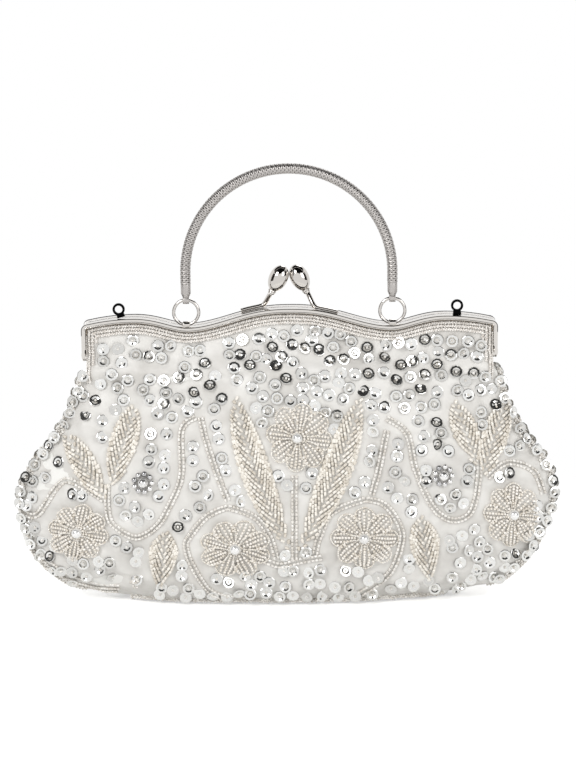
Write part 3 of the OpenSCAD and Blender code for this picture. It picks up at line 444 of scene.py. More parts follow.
@dataclass(frozen=True)
class PouchForm:
    """The pouch's outline and fullness, and the frame's wave above it."""

    width: float = 268 * MM
    depth: float = 48 * MM
    hinge_z: float = 126 * MM
    # Each row is height, half width and half depth, as shares of the hinge height, half width and half depth
    pouch_shares: tuple[Triple, ...] = (
        (0.000, 0.520, 0.42), (0.018, 0.640, 0.61), (0.050, 0.785, 0.75), (0.095, 0.856, 0.86),
        (0.160, 0.915, 0.94), (0.240, 0.960, 0.99), (0.340, 0.988, 1.00), (0.440, 1.000, 0.98),
        (0.530, 0.968, 0.94), (0.610, 0.915, 0.88), (0.690, 0.858, 0.80), (0.780, 0.815, 0.71),
        (0.870, 0.782, 0.62), (1.000, 0.766, 0.50))
    seam_gap: float = 0.1 * MM
    edge_d: float = 0.408 * MM
    crest_z: float = 149.5 * MM
    valley_z: float = 140.5 * MM
    shoulder_z: float = 145.3 * MM
    valley_x: float = 51 * MM
    shoulder_x: float = 77 * MM
    leg_x: float = 103 * MM
    corner_r: float = 3.2 * MM
    corner_fall: float = 2.5 * MM
    strip_y: float = -3.5 * MM
    cloth_y: float = 3.75 * MM
    cloth_edge_y: float = 3.55 * MM
    yoke_d: float = 12.8 * MM
    yoke_base: float = 120.5 * MM
    strip_under: float = 1.25 * MM
    row_top: float = 148.5 * MM
    turn_z: float = 109 * MM
    leg_half_w: Pair = (100.2 * MM, 101.7 * MM)
    # Heights between which the cloth narrows to the legs and widens inside them
    narrow_z: Pair = (118.5 * MM, 124 * MM)
    legs_z: Pair = (131.5 * MM, 135 * MM)
    # Heights between which its side edge and its middle pass from the pouch's form to the yoke's
    edge_z: Pair = (112 * MM, 121 * MM)
    yoke_z: Pair = (113 * MM, 127 * MM)
    # Powers that shape the frame's wave within and beyond its valley, the yoke's fall and the cloth's bulge
    wave_powers: Pair = (1.2, 0.8)
    yoke_power: float = 2.2
    bulge_powers: Pair = (2.4, 0.72)
    # Rows lie closer near the base, whose flat takes up this share below the first one
    row_power: float = 1.3
    base_share: float = 0.05
    corner_lead: float = 0.9
    least_corner_r: float = 0.15 * MM
    slope_step: float = 0.05 * MM
    # Places along half the frame's top, round its corner and down its leg
    samples: tuple[int, int, int] = (120, 5, 20)
    # How far the hanging pouch sways to the left, the height where it sways most, and the reach of that
    sway_most: float = -3.2 * MM
    sway_z: float = 24 * MM
    sway_reach: float = 30 * MM
    # How far everything below these heights leans to the left
    lean: float = 0.6 * MM
    lean_z: Pair = (98 * MM, 116 * MM)

    def _share(self, column: int, u: float) -> float:
        """Return a column of the share table at u, on a smooth curve through its rows."""
        rows = self.pouch_shares

        def slope(i: int) -> float:
            a, b = max(i - 1, 0), min(i + 1, len(rows) - 1)
            return (rows[b][column] - rows[a][column]) / (rows[b][0] - rows[a][0])

        i = 0
        while i < len(rows) - 2 and u > rows[i + 1][0]:
            i += 1
        h = rows[i + 1][0] - rows[i][0]
        p = min((u - rows[i][0]) / h, 1.0)
        return ((2 * p ** 3 - 3 * p ** 2 + 1) * rows[i][column] + (p ** 3 - 2 * p ** 2 + p) * slope(i) * h
                + (3 * p ** 2 - 2 * p ** 3) * rows[i + 1][column] + (p ** 3 - p ** 2) * slope(i + 1) * h)

    def sway(self, z: float) -> float:
        """Return how far the pouch stands aside at a height, seen from the front."""
        swing = self.sway_most * math.exp(-((z - self.sway_z) / self.sway_reach) ** 2)
        return swing - self.lean * (1 - smoothstep(*self.lean_z, z))

    def wave(self, x: float) -> float:
        """Return the height of the frame's top at x."""
        a = abs(x)
        within, beyond = self.wave_powers

        def ease(u: float) -> float:
            return (1 - math.cos(math.pi * u)) / 2

        if a < self.valley_x:
            return self.crest_z - (self.crest_z - self.valley_z) * ease((a / self.valley_x) ** within)
        if a < self.shoulder_x:
            part = (a - self.valley_x) / (self.shoulder_x - self.valley_x)
            return self.valley_z + (self.shoulder_z - self.valley_z) * ease(part ** beyond)
        fall_w = self.leg_x - self.corner_r - self.shoulder_x
        return self.shoulder_z - self.corner_fall * ((a - self.shoulder_x) / fall_w) ** 2

    def outline(self, inset: float, foot: float) -> list[Pair]:
        """Return places inside the frame's outline, from the left leg's foot round to the right leg's.

        Args:
            inset: Distance inside the outline.
            foot: Height where both ends stop.

        Returns:
            Each place's x and z.
        """
        path = []
        r = max(self.corner_r - inset, self.least_corner_r)
        h = self.slope_step
        top, corner, leg = self.samples
        for x in np.linspace(0, self.leg_x - max(self.corner_r, inset), top):
            lean = math.atan((self.wave(x - h) - self.wave(x + h)) / (2 * h))
            path.append((x - inset * math.sin(lean), self.wave(x) - inset * math.cos(lean)))
        side_x = self.leg_x - inset
        path = [p for p in path if p[0] < side_x - r]
        corner_z = path[-1][1] - r
        for a in np.radians(np.linspace(80, 0, corner)):
            path.append((side_x - r + r * math.cos(a), corner_z + r * math.sin(a)))
        path += [(side_x, z) for z in np.linspace(corner_z - 0.5 * MM, foot, leg)]
        return [(-x, z) for x, z in reversed(path[1:])] + path

    def half_w(self, z: float) -> float:
        """Return half the cloth's width at a height, drawn in between the frame's legs near the top."""
        full = self.width / 2 * self._share(1, min(z / self.hinge_z, 1.0))
        low, high = self.leg_half_w
        legs = low + (high - low) * smoothstep(*self.legs_z, z)
        k = smoothstep(*self.narrow_z, z)
        return full * (1 - k) + min(full, legs) * k if k < 1 else legs

    def edge(self, z: float) -> float:
        """Return how far the cloth's side edge stands from the middle plane at a height."""
        k = smoothstep(*self.edge_z, z)
        rise = smoothstep(self.yoke_base, self.row_top, z)
        top = self.cloth_edge_y + (self.cloth_y - self.cloth_edge_y) * rise
        return (self.seam_gap + self.edge_d) * (1 - k) + top * k

    def middle(self, z: float) -> float:
        """Return how far the cloth stands from the middle plane at the bag's centre line, at a height."""
        pouch = self.depth / 2 * self._share(2, min(z / self.hinge_z, 1.0))
        part = min(max((z - self.yoke_base) / (self.row_top - self.yoke_base), 0.0), 1.0)
        yoke = self.cloth_y + (self.yoke_d - self.cloth_y) * (1 - part) ** self.yoke_power
        k = smoothstep(*self.yoke_z, z)
        return pouch * (1 - k) + yoke * k

    def bulge(self, t: float) -> float:
        """Return how full the cloth is across its width, from 1 in the middle to 0 at the seams."""
        flat, steep = self.bulge_powers
        return max(1 - abs(t) ** flat, 0.0) ** steep

    def skin(self, t: float, u: float, inset: float = 0.0) -> Vector:
        """Return a place on the front cloth.

        Args:
            t: Place across, from -1 at the left seam to 1 at the right.
            u: Place up the cloth, from below 0 on the flat of the base to 1 under the frame.
            inset: How far inside the outer face.

        Returns:
            The place, in metres.
        """
        base = min(max(1 + u / self.base_share, 0.0), 1.0)
        row = max(u, 0.0) ** self.row_power * self.row_top
        x = (self.half_w(row) - inset) * t
        z = row
        if row > self.turn_z:
            a = min(abs(x), self.leg_x - self.corner_r)
            top = self.wave(a) - self.strip_under - max(abs(x) - a, 0.0) * self.corner_lead
            z = self.turn_z + (row - self.turn_z) / (self.row_top - self.turn_z) * (top - self.turn_z)
        edge = self.edge(row)
        depth = edge + (max(self.middle(row) - inset, edge) - edge) * self.bulge(t)
        z += inset * (1 - row / self.row_top)
        return Vector((x + self.sway(z), -(self.seam_gap + (depth - self.seam_gap) * base), z))


def dressed(name: str, mesh: Mesh, finish: Finish) -> Object:
    """Make a piece of a mesh, with its finish and the record's material slot."""
    mesh.materials.append(finish.material)
    piece = link_object(name, mesh)
    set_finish(piece, finish.slot)
    return piece


def smooth_piece(name: str, bm: BMesh, finish: Finish) -> Object:
    """Turn a bmesh, which is freed, into a smooth piece with its finish."""
    return dressed(name, make_mesh(name, bm, smooth=True), finish)


def thicken(piece: Object, name: str, thickness: float) -> None:
    """Give a sheet its thickness, inwards from its outer face."""
    solid = piece.modifiers.new(name, "SOLIDIFY")
    solid.thickness = thickness
    solid.offset = -1


def back_twin(piece: Object, form: PouchForm) -> Object:
    """Copy a front piece, turned round to the back, before it rides on anything.

    Args:
        piece: The front piece.
        form: The bag's form, whose sway stays the same way round.

    Returns:
        The copy.
    """
    name = piece.name.replace("front_", "back_", 1)
    mesh = piece.data.copy()
    mesh.name = name
    mesh.transform(Side.BACK.turn)
    for vert in mesh.vertices:
        vert.co.x += 2 * form.sway(vert.co.z)
    twin = link_object(name, mesh)
    for source in piece.modifiers:
        thicken(twin, source.name, source.thickness)
    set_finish(twin, piece["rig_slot"])
    return twin


# Small shapes that are laid many times, with few faces

def lathe(profile: list[Vector], axis: Vector, steps: int, closed: bool = False) -> BMesh:
    """Spin a profile all the way round an axis through the origin.

    Args:
        profile: The profile's places.
        axis: The axis.
        steps: How many faces go round.
        closed: Whether the profile's last place joins its first.

    Returns:
        The surface, with its faces outwards.
    """
    bm = bmesh.new()
    verts = [bm.verts.new(place) for place in profile]
    ends = verts[1:] + (verts[:1] if closed else [])
    edges = [bm.edges.new(pair) for pair in zip(verts, ends)]
    bmesh.ops.spin(bm, geom=verts + edges, cent=(0, 0, 0), axis=axis, angle=2 * math.pi, steps=steps,
                   use_merge=True)
    bmesh.ops.remove_doubles(bm, verts=bm.verts, dist=0.005 * MM)
    bmesh.ops.recalc_face_normals(bm, faces=bm.faces)
    return bm


@dataclass(frozen=True)
class Bead:
    """One kind of bead, whose hole lies along X."""

    radius: float = 0.65 * MM
    length: float = 1.25 * MM
    # Distance between beads on a thread, and height of their middles over the cloth
    pitch: float = 1.3 * MM
    rise: float = 0.0
    sides: int = 7
    rings: int = 5
    # The bugle's profile: shares of its length and of its radius
    bugle_profile: tuple[Pair, ...] = (
        (-0.5, 0.0), (-0.5, 0.62), (-0.38, 1.0), (0.38, 1.0), (0.5, 0.62), (0.5, 0.0))

    def rounded(self) -> Mesh:
        """Make a seed bead: a ball drawn out along its hole."""
        bm = bmesh.new()
        bmesh.ops.create_uvsphere(bm, u_segments=self.sides, v_segments=self.rings, radius=self.radius)
        bmesh.ops.rotate(bm, verts=bm.verts, matrix=Matrix.Rotation(math.pi / 2, 3, "Y"))
        bmesh.ops.scale(bm, vec=(self.length / 2 / self.radius, 1, 1), verts=bm.verts)
        return make_mesh("bead_shape", bm, smooth=True)

    def bugle(self) -> Mesh:
        """Make a long bead, cut square with rounded ends."""
        profile = [Vector((a * self.length, 0, b * self.radius)) for a, b in self.bugle_profile]
        return make_mesh("bugle_shape", lathe(profile, Vector((1, 0, 0)), self.sides), smooth=True)


@dataclass(frozen=True)
class Sequin:
    """A faceted cup sequin that lies on XY."""

    radius: float = 3.15 * MM
    facets: int = 10
    # Each ring inside the rim: its share of the radius, and its rise over the ring before
    rings: tuple[Pair, ...] = (
        (0.93, 0.14 * MM), (0.66, 0.04 * MM), (0.38, -0.62 * MM), (0.2, -0.05 * MM))

    def mesh(self) -> Mesh:
        """Make the cup, with a flat face to each facet."""
        bm = bmesh.new()
        bmesh.ops.create_circle(bm, cap_ends=True, segments=self.facets, radius=self.radius)
        face = bm.faces[:][0]
        for share, rise in self.rings:
            bmesh.ops.inset_individual(bm, faces=[face], thickness=0)
            verts = face.verts[:]
            scale = self.radius * share / verts[0].co.length
            bmesh.ops.scale(bm, vec=(scale, scale, 1), verts=verts)
            bmesh.ops.translate(bm, vec=(0, 0, rise), verts=verts)
        bmesh.ops.translate(bm, vec=(0, 0, CUP_RISE), verts=bm.verts)
        return make_mesh("sequin_shape", bm)


def scatter(name: str, shape: Mesh, places: list[Matrix], finish: Finish, seed: int) -> Object:
    """Lay one copy of a small shape at each place, as one piece with a tone for each copy.

    Args:
        name: The piece's name.
        shape: The small shape.
        places: Where each copy goes, and how it is turned.
        finish: The finish.
        seed: Seed of the tones.

    Returns:
        The piece.
    """
    bm = bmesh.new()
    bm.from_mesh(shape)
    counts = len(bm.verts), len(bm.edges), len(bm.faces)
    made = 1
    while made < len(places):
        take = min(made, len(places) - made)
        parts = [bm.verts[:], bm.edges[:], bm.faces[:]]
        geometry = [item for part, count in zip(parts, counts) for item in part[:take * count]]
        bmesh.ops.duplicate(bm, geom=geometry)
        made += take
    mesh = make_mesh(name, bm)
    corners = np.array([v.co for v in shape.vertices])
    turns = np.array([[list(row) for row in place] for place in places])
    laid = np.einsum("nij,vj->nvi", turns[:, :3, :3], corners) + turns[:, None, :3, 3]
    # What would reach under the floor is lifted onto it
    laid[:, :, 2] += np.maximum(FLOOR_GAP - laid[:, :, 2].min(axis=1), 0.0)[:, None]
    mesh.vertices.foreach_set("co", laid.astype(np.float32).ravel())
    tones = np.random.default_rng(seed).random(len(places))
    tone = mesh.attributes.new("tone", "FLOAT", "POINT")
    tone.data.foreach_set("value", np.repeat(tones, len(corners)).astype(np.float32))
    mesh.update()
    LOG.info("%s: %d copies", name, len(places))
    return dressed(name, mesh, finish)


def seat(place: Vector, normal: Vector, along: Vector, rise: float = 0.0, size: float = 1.0) -> Matrix:
    """Return the matrix that sets a shape on the cloth with its X axis along a thread."""
    up = normal.normalized()
    ahead = along - up * along.dot(up)
    ahead = ahead.normalized() if ahead.length > TINY else up.orthogonal().normalized()
    turn = Matrix((ahead, up.cross(ahead), up)).transposed().to_4x4()
    return Matrix.Translation(place + up * rise) @ turn @ Matrix.Scale(size, 4)


def through(points: Sequence, closed: bool = False, steps: int = 12) -> list[tuple]:
    """Return places on a smooth curve through some points."""
    n = len(points)
    out = []
    for i in range(n if closed else n - 1):
        near = [(i + k) % n if closed else min(max(i + k, 0), n - 1) for k in (-1, 0, 1, 2)]
        a, b, c, d = (np.array(points[j], float) for j in near)
        for h in np.arange(steps) / steps:
            out.append(tuple(0.5 * (2 * b + (c - a) * h + (2 * a - 5 * b + 4 * c - d) * h * h
                                    + (3 * b - a - 3 * c + d) * h ** 3)))
    out.append(tuple(map(float, points[0] if closed else points[-1])))
    return out


@dataclass
class Thread:
    """Places along one row of stitching, with the cloth's normal at each."""

    places: list[Vector]
    normals: list[Vector]

    @classmethod
    def of(cls, hits: list[Hit]) -> "Thread":
        """Run a thread through places that come with their normals."""
        return cls([place for place, _ in hits], [normal for _, normal in hits])

    def beads(self, bead: Bead, lift: float = 0.0) -> list[Matrix]:
        """Space beads evenly along the row.

        Args:
            bead: The kind of bead, with its pitch and its rise.
            lift: Further height over the cloth.

        Returns:
            One matrix for each bead.
        """
        out = []
        lengths = running_lengths(self.places)
        count = max(int(lengths[-1] / bead.pitch), 1)
        k = 0
        for i in range(count):
            want = (i + 0.5) * lengths[-1] / count
            while k < len(lengths) - 2 and lengths[k + 1] < want:
                k += 1
            gap = lengths[k + 1] - lengths[k]
            h = (want - lengths[k]) / gap if gap > TINY else 0.0
            place = self.places[k].lerp(self.places[k + 1], h)
            normal = self.normals[k].lerp(self.normals[k + 1], h)
            out.append(seat(place, normal, self.places[k + 1] - self.places[k], bead.rise + lift))
        return out


@dataclass
class Satin:
    """The padded satin of one face: one panel from the base to the frame, drawn in by its stitching."""

    form: PouchForm
    view: Viewpoint
    # Faces across and up each layer, and on the flat of the base
    mesh_size: tuple[int, int] = (108, 75)
    inner_size: tuple[int, int] = (96, 72)
    base_rows: int = 3
    # How much wider and longer the flat cloth is than the bag
    flat_width: float = 1.12
    flat_extra: float = 12 * MM
    thickness: float = 0.6 * MM
    inner_lift: float = 0.2 * MM
    crease: float = 1.3 * MM
    ripple: float = 0.4 * MM
    pucker: float = 0.6 * MM
    dimple: float = 0.5 * MM
    dimple_reach: float = 3.2 * MM
    # Where folds fade out: shares of the half width at the rim, and heights at the foot and the top
    rim_share: Pair = (0.93, 1.0)
    foot_z: Pair = (0.0, 12 * MM)
    top_z: Pair = (128 * MM, 136 * MM)
    # Where the seams pucker, and where the cloth hangs in creases under the frame
    seam_share: Pair = (0.82, 0.97)
    under_z: Pair = (104 * MM, 120 * MM)
    least_z: float = 0.15 * MM
    blow_frames: int = 16
    pressure: float = 4.0
    slack: float = 0.035
    most_move: float = 2.6 * MM
    # The cloth is held beyond this share of its half width, and below and above these heights
    held_share: float = 0.985
    held_z: Pair = (3 * MM, 133 * MM)
    # A pixel that misses the cloth is moved towards this one, a pixel at a time
    aim: Pixel = (290.0, 470.0)
    aim_steps: int = 40
    tree: BVHTree | None = None

    def _grid(self, columns: int, rows: int, inset: float = 0.0) -> BMesh:
        """Shape a flat grid to the front cloth, with its flat places as UVs."""
        bm = bmesh.new()
        bmesh.ops.create_grid(bm, x_segments=columns, y_segments=rows + self.base_rows, size=1.0)
        layer = bm.loops.layers.uv.new("cloth")
        flat = {}
        for vert in bm.verts:
            row = (vert.co.y + 1) / 2 * (rows + self.base_rows) - self.base_rows
            u = row / rows if row >= 0 else row / self.base_rows * self.form.base_share
            t = math.sin(vert.co.x * math.pi / 2)
            place = self.form.skin(t, u, inset)
            flat[vert.index] = (place.x * self.flat_width, place.z + u * self.flat_extra)
            vert.co = place
        for face in bm.faces:
            for loop in face.loops:
                loop[layer].uv = flat[loop.vert.index]
        bmesh.ops.recalc_face_normals(bm, faces=bm.faces)
        if sum(face.normal.y for face in bm.faces) > 0:
            bmesh.ops.reverse_faces(bm, faces=bm.faces)
        return bm

    def _relaxed(self, bm: BMesh, stitches: list[Vector]) -> BMesh:
        """Blow the cloth out between its stitches with a short cloth simulation, and smooth it once.

        Args:
            bm: The coarse cloth, which is freed.
            stitches: Places where thread holds the cloth down.

        Returns:
            The cloth at rest, with twice as many faces each way.
        """
        mesh = make_mesh("cloth_trial", bm)
        trial = link_object("cloth_trial", mesh)
        self._blow(trial, stitches)
        smooth = trial.modifiers.new("smooth_cloth", "SUBSURF")
        smooth.levels = smooth.render_levels = 1
        smooth.boundary_smooth = "PRESERVE_CORNERS"
        graph = bpy.context.evaluated_depsgraph_get()
        fine = bpy.data.meshes.new_from_object(trial.evaluated_get(graph))
        out = bmesh.new()
        out.from_mesh(fine)
        bpy.data.objects.remove(trial)
        bpy.data.meshes.remove(mesh)
        bpy.data.meshes.remove(fine)
        return out

    def _held(self, rest: np.ndarray, stitches: list[Vector]) -> list[int]:
        """Return the numbers of the cloth's places that thread, seams and frame hold still."""
        near = search_tree(rest)
        held = {near.find(place)[1] for place in stitches}
        low, high = self.held_z
        for i, (x, _, z) in enumerate(rest):
            reach = self.form.half_w(min(z, self.form.row_top)) * self.held_share
            if abs(x - self.form.sway(z)) > reach or z < low or z > high:
                held.add(i)
        return sorted(held)

    def _blow(self, trial: Object, stitches: list[Vector]) -> None:
        """Run the cloth simulation on the trial object and keep its capped result."""
        mesh = trial.data
        rest = np.empty(len(mesh.vertices) * 3)
        mesh.vertices.foreach_get("co", rest)
        rest = rest.reshape(-1, 3)
        trial.vertex_groups.new(name="pins").add(self._held(rest, stitches), 1.0, "REPLACE")
        cloth = trial.modifiers.new("cloth", "CLOTH")
        settings = {"quality": 5, "mass": 0.2, "tension_stiffness": 20, "compression_stiffness": 20,
                    "bending_stiffness": 0.3, "vertex_group_mass": "pins", "use_pressure": True,
                    "uniform_pressure_force": self.pressure, "shrink_min": -self.slack}
        for name, value in settings.items():
            setattr(cloth.settings, name, value)
        cloth.settings.effector_weights.gravity = 0
        cloth.collision_settings.use_collision = False
        cloth.collision_settings.use_self_collision = False
        cloth.point_cache.frame_start = 1
        cloth.point_cache.frame_end = self.blow_frames
        scene = bpy.context.scene
        for step in range(1, self.blow_frames + 1):
            scene.frame_set(step)
        blown = trial.evaluated_get(bpy.context.evaluated_depsgraph_get()).to_mesh()
        moved = np.empty(len(rest) * 3)
        blown.vertices.foreach_get("co", moved)
        move = moved.reshape(-1, 3) - rest
        reach = np.linalg.norm(move, axis=1, keepdims=True)
        move *= np.minimum(1.0, self.most_move / np.maximum(reach, TINY))
        LOG.info("cloth: moved %.2f mm in the mean, %.2f mm at most", reach.mean() / MM, reach.max() / MM)
        trial.modifiers.remove(cloth)
        scene.frame_set(1)
        mesh.vertices.foreach_set("co", (rest + move).astype(np.float32).ravel())
        mesh.update()

    def _folds(self, bm: BMesh, stitches: list[Vector]) -> None:
        """Move the cloth in and out: soft creases, ripples at the seams and under the frame, and dimples."""
        bm.normal_update()
        near = search_tree(stitches)
        form = self.form
        for vert in bm.verts:
            x, z = vert.co.x, vert.co.z
            t = min(abs(x - form.sway(z)) / form.half_w(min(max(z, 0.0), form.row_top)), 1.0)
            rim = 1 - smoothstep(*self.rim_share, t)
            low = smoothstep(*self.foot_z, z)
            high = 1 - smoothstep(*self.top_z, z)
            open_cloth = rim * low * high
            broad = wrinkle(x, z, 34, 15, 3.1)
            fine = wrinkle(x, z, 11, 7, 7.7)
            # Long flat creases that hang from side to side under the frame
            slack = wrinkle(x, z, 42, 5.5, 5.3)
            under = smoothstep(*self.under_z, z) * high
            pull = math.sin(x / (4.3 * MM) + 2.2 * wrinkle(x, 0, 20, 1, 1.3))
            seam = smoothstep(*self.seam_share, t) * rim * low
            puckers = math.sin(z / (2.6 * MM) + 1.8 * wrinkle(z, 2 * MM, 14, 1, 0)) * seam
            move = self.crease * broad * open_cloth
            move += self.ripple * (fine * open_cloth + 0.5 * pull * under * rim)
            move += self.pucker * puckers + 1.1 * self.crease * slack * under * rim
            _, _, gap = near.find(vert.co)
            move -= self.dimple * math.exp(-(gap / self.dimple_reach) ** 2) * rim
            vert.co += vert.normal * move
            vert.co.z = max(vert.co.z, self.least_z)
            vert.co.y = min(vert.co.y, -form.seam_gap)

    def find(self) -> None:
        """Work out where the smooth cloth lies, for the stitching to be placed on."""
        bm = self._grid(*self.mesh_size)
        self.tree = BVHTree.FromBMesh(bm)
        bm.free()

    def build(self, finish: Finish, stitches: list[Vector]) -> Object:
        """Make the front panel and keep its surface for the beads.

        Args:
            finish: The satin's finish.
            stitches: Places where thread pulls the cloth in.

        Returns:
            The front panel.
        """
        bm = self._relaxed(self._grid(*self.mesh_size), stitches)
        self._folds(bm, stitches)
        bm.normal_update()
        self.tree = BVHTree.FromBMesh(bm)
        LOG.info("front satin: %.4f square metres", sum(face.calc_area() for face in bm.faces))
        panel = smooth_piece("front_satin", bm, finish)
        thicken(panel, "cloth_thickness", self.thickness)
        return panel

    def inner(self, name: str, inset: float, thickness: float, top: float, finish: Finish) -> Object:
        """Make an inner layer of the front face, such as the wadding or the lining.

        Args:
            name: The piece's name.
            inset: How far inside the satin's face it lies.
            thickness: Its thickness.
            top: Share of the cloth's height that it reaches.
            finish: Its finish.

        Returns:
            The layer.
        """
        bm = self._grid(*self.inner_size, inset)
        limit = self.form.skin(0.0, top).z
        bmesh.ops.bisect_plane(bm, geom=bm.verts[:] + bm.edges[:] + bm.faces[:], plane_co=(0, 0, limit),
                               plane_no=(0, 0, 1), clear_outer=True)
        bmesh.ops.translate(bm, vec=(0, 0, self.inner_lift), verts=bm.verts)
        layer = smooth_piece(name, bm, finish)
        thicken(layer, "layer_thickness", thickness)
        return layer

    def hit(self, pixel: Pixel) -> Hit:
        """Return the cloth's place and outward normal behind a pixel of the photograph."""
        spot = np.array(pixel, float)
        for _ in range(self.aim_steps):
            start, way = self.view.ray((spot[0], spot[1]))
            place, normal, _, _ = self.tree.ray_cast(start, way)
            if place is not None:
                return place, normal if normal.dot(way) < 0 else -normal
            ahead = np.subtract(self.aim, spot)
            spot += ahead / np.linalg.norm(ahead)
        raise ValueError(f"no cloth behind pixel {pixel}")

    def behind(self, x: float, z: float) -> Hit:
        """Return the front cloth's place and normal straight behind x and z."""
        place, normal, _, _ = self.tree.ray_cast(Vector((x, -1.0, z)), Vector((0, 1, 0)))
        if place is None:
            return self.near(Vector((x, -self.form.cloth_y, z)))
        return place, normal if normal.y < 0 else -normal

    def near(self, place: Vector) -> Hit:
        """Return the cloth's nearest place and its outward normal."""
        found, normal, _, _ = self.tree.find_nearest(place)
        return found, normal if normal.y < 0 else -normal

    def thread(self, points: Sequence[Pixel], closed: bool = False, steps: int = 10) -> Thread:
        """Lay a row of stitching on the cloth along pixels of the photograph."""
        return Thread.of([self.hit(p) for p in through(points, closed, steps)])


@dataclass(frozen=True)
class Blossom:
    """One beaded flower: its middle, its width and height in pixels, and its turn in degrees."""

    middle: Pixel
    size: Pixel
    turn: float = 0.0

    def spot(self, angle: float, along: float, across: float) -> Pixel:
        """Return the pixel at a share of the radius along an angle, and at a share of it across."""
        x = along * math.cos(angle) - across * math.sin(angle)
        y = along * math.sin(angle) + across * math.cos(angle)
        return self.middle[0] + x * self.size[0] / 2, self.middle[1] + y * self.size[1] / 2


@dataclass(frozen=True)
class Leaf:
    """One beaded leaf: its vein's root and tip, its half width and how far the vein bows, in pixels."""

    root: Pixel
    tip: Pixel
    half: float
    bow: float = 0.0

    def vein(self, share: float) -> tuple[np.ndarray, np.ndarray]:
        """Return the vein's pixel and its direction at a share of its length."""
        root, tip = np.array(self.root, float), np.array(self.tip, float)
        straight = tip - root
        aside = np.array((-straight[1], straight[0])) / np.linalg.norm(straight)
        way = straight + aside * self.bow * 4 * (1 - 2 * share)
        place = root + straight * share + aside * self.bow * 4 * share * (1 - share)
        return place, way / np.linalg.norm(way)


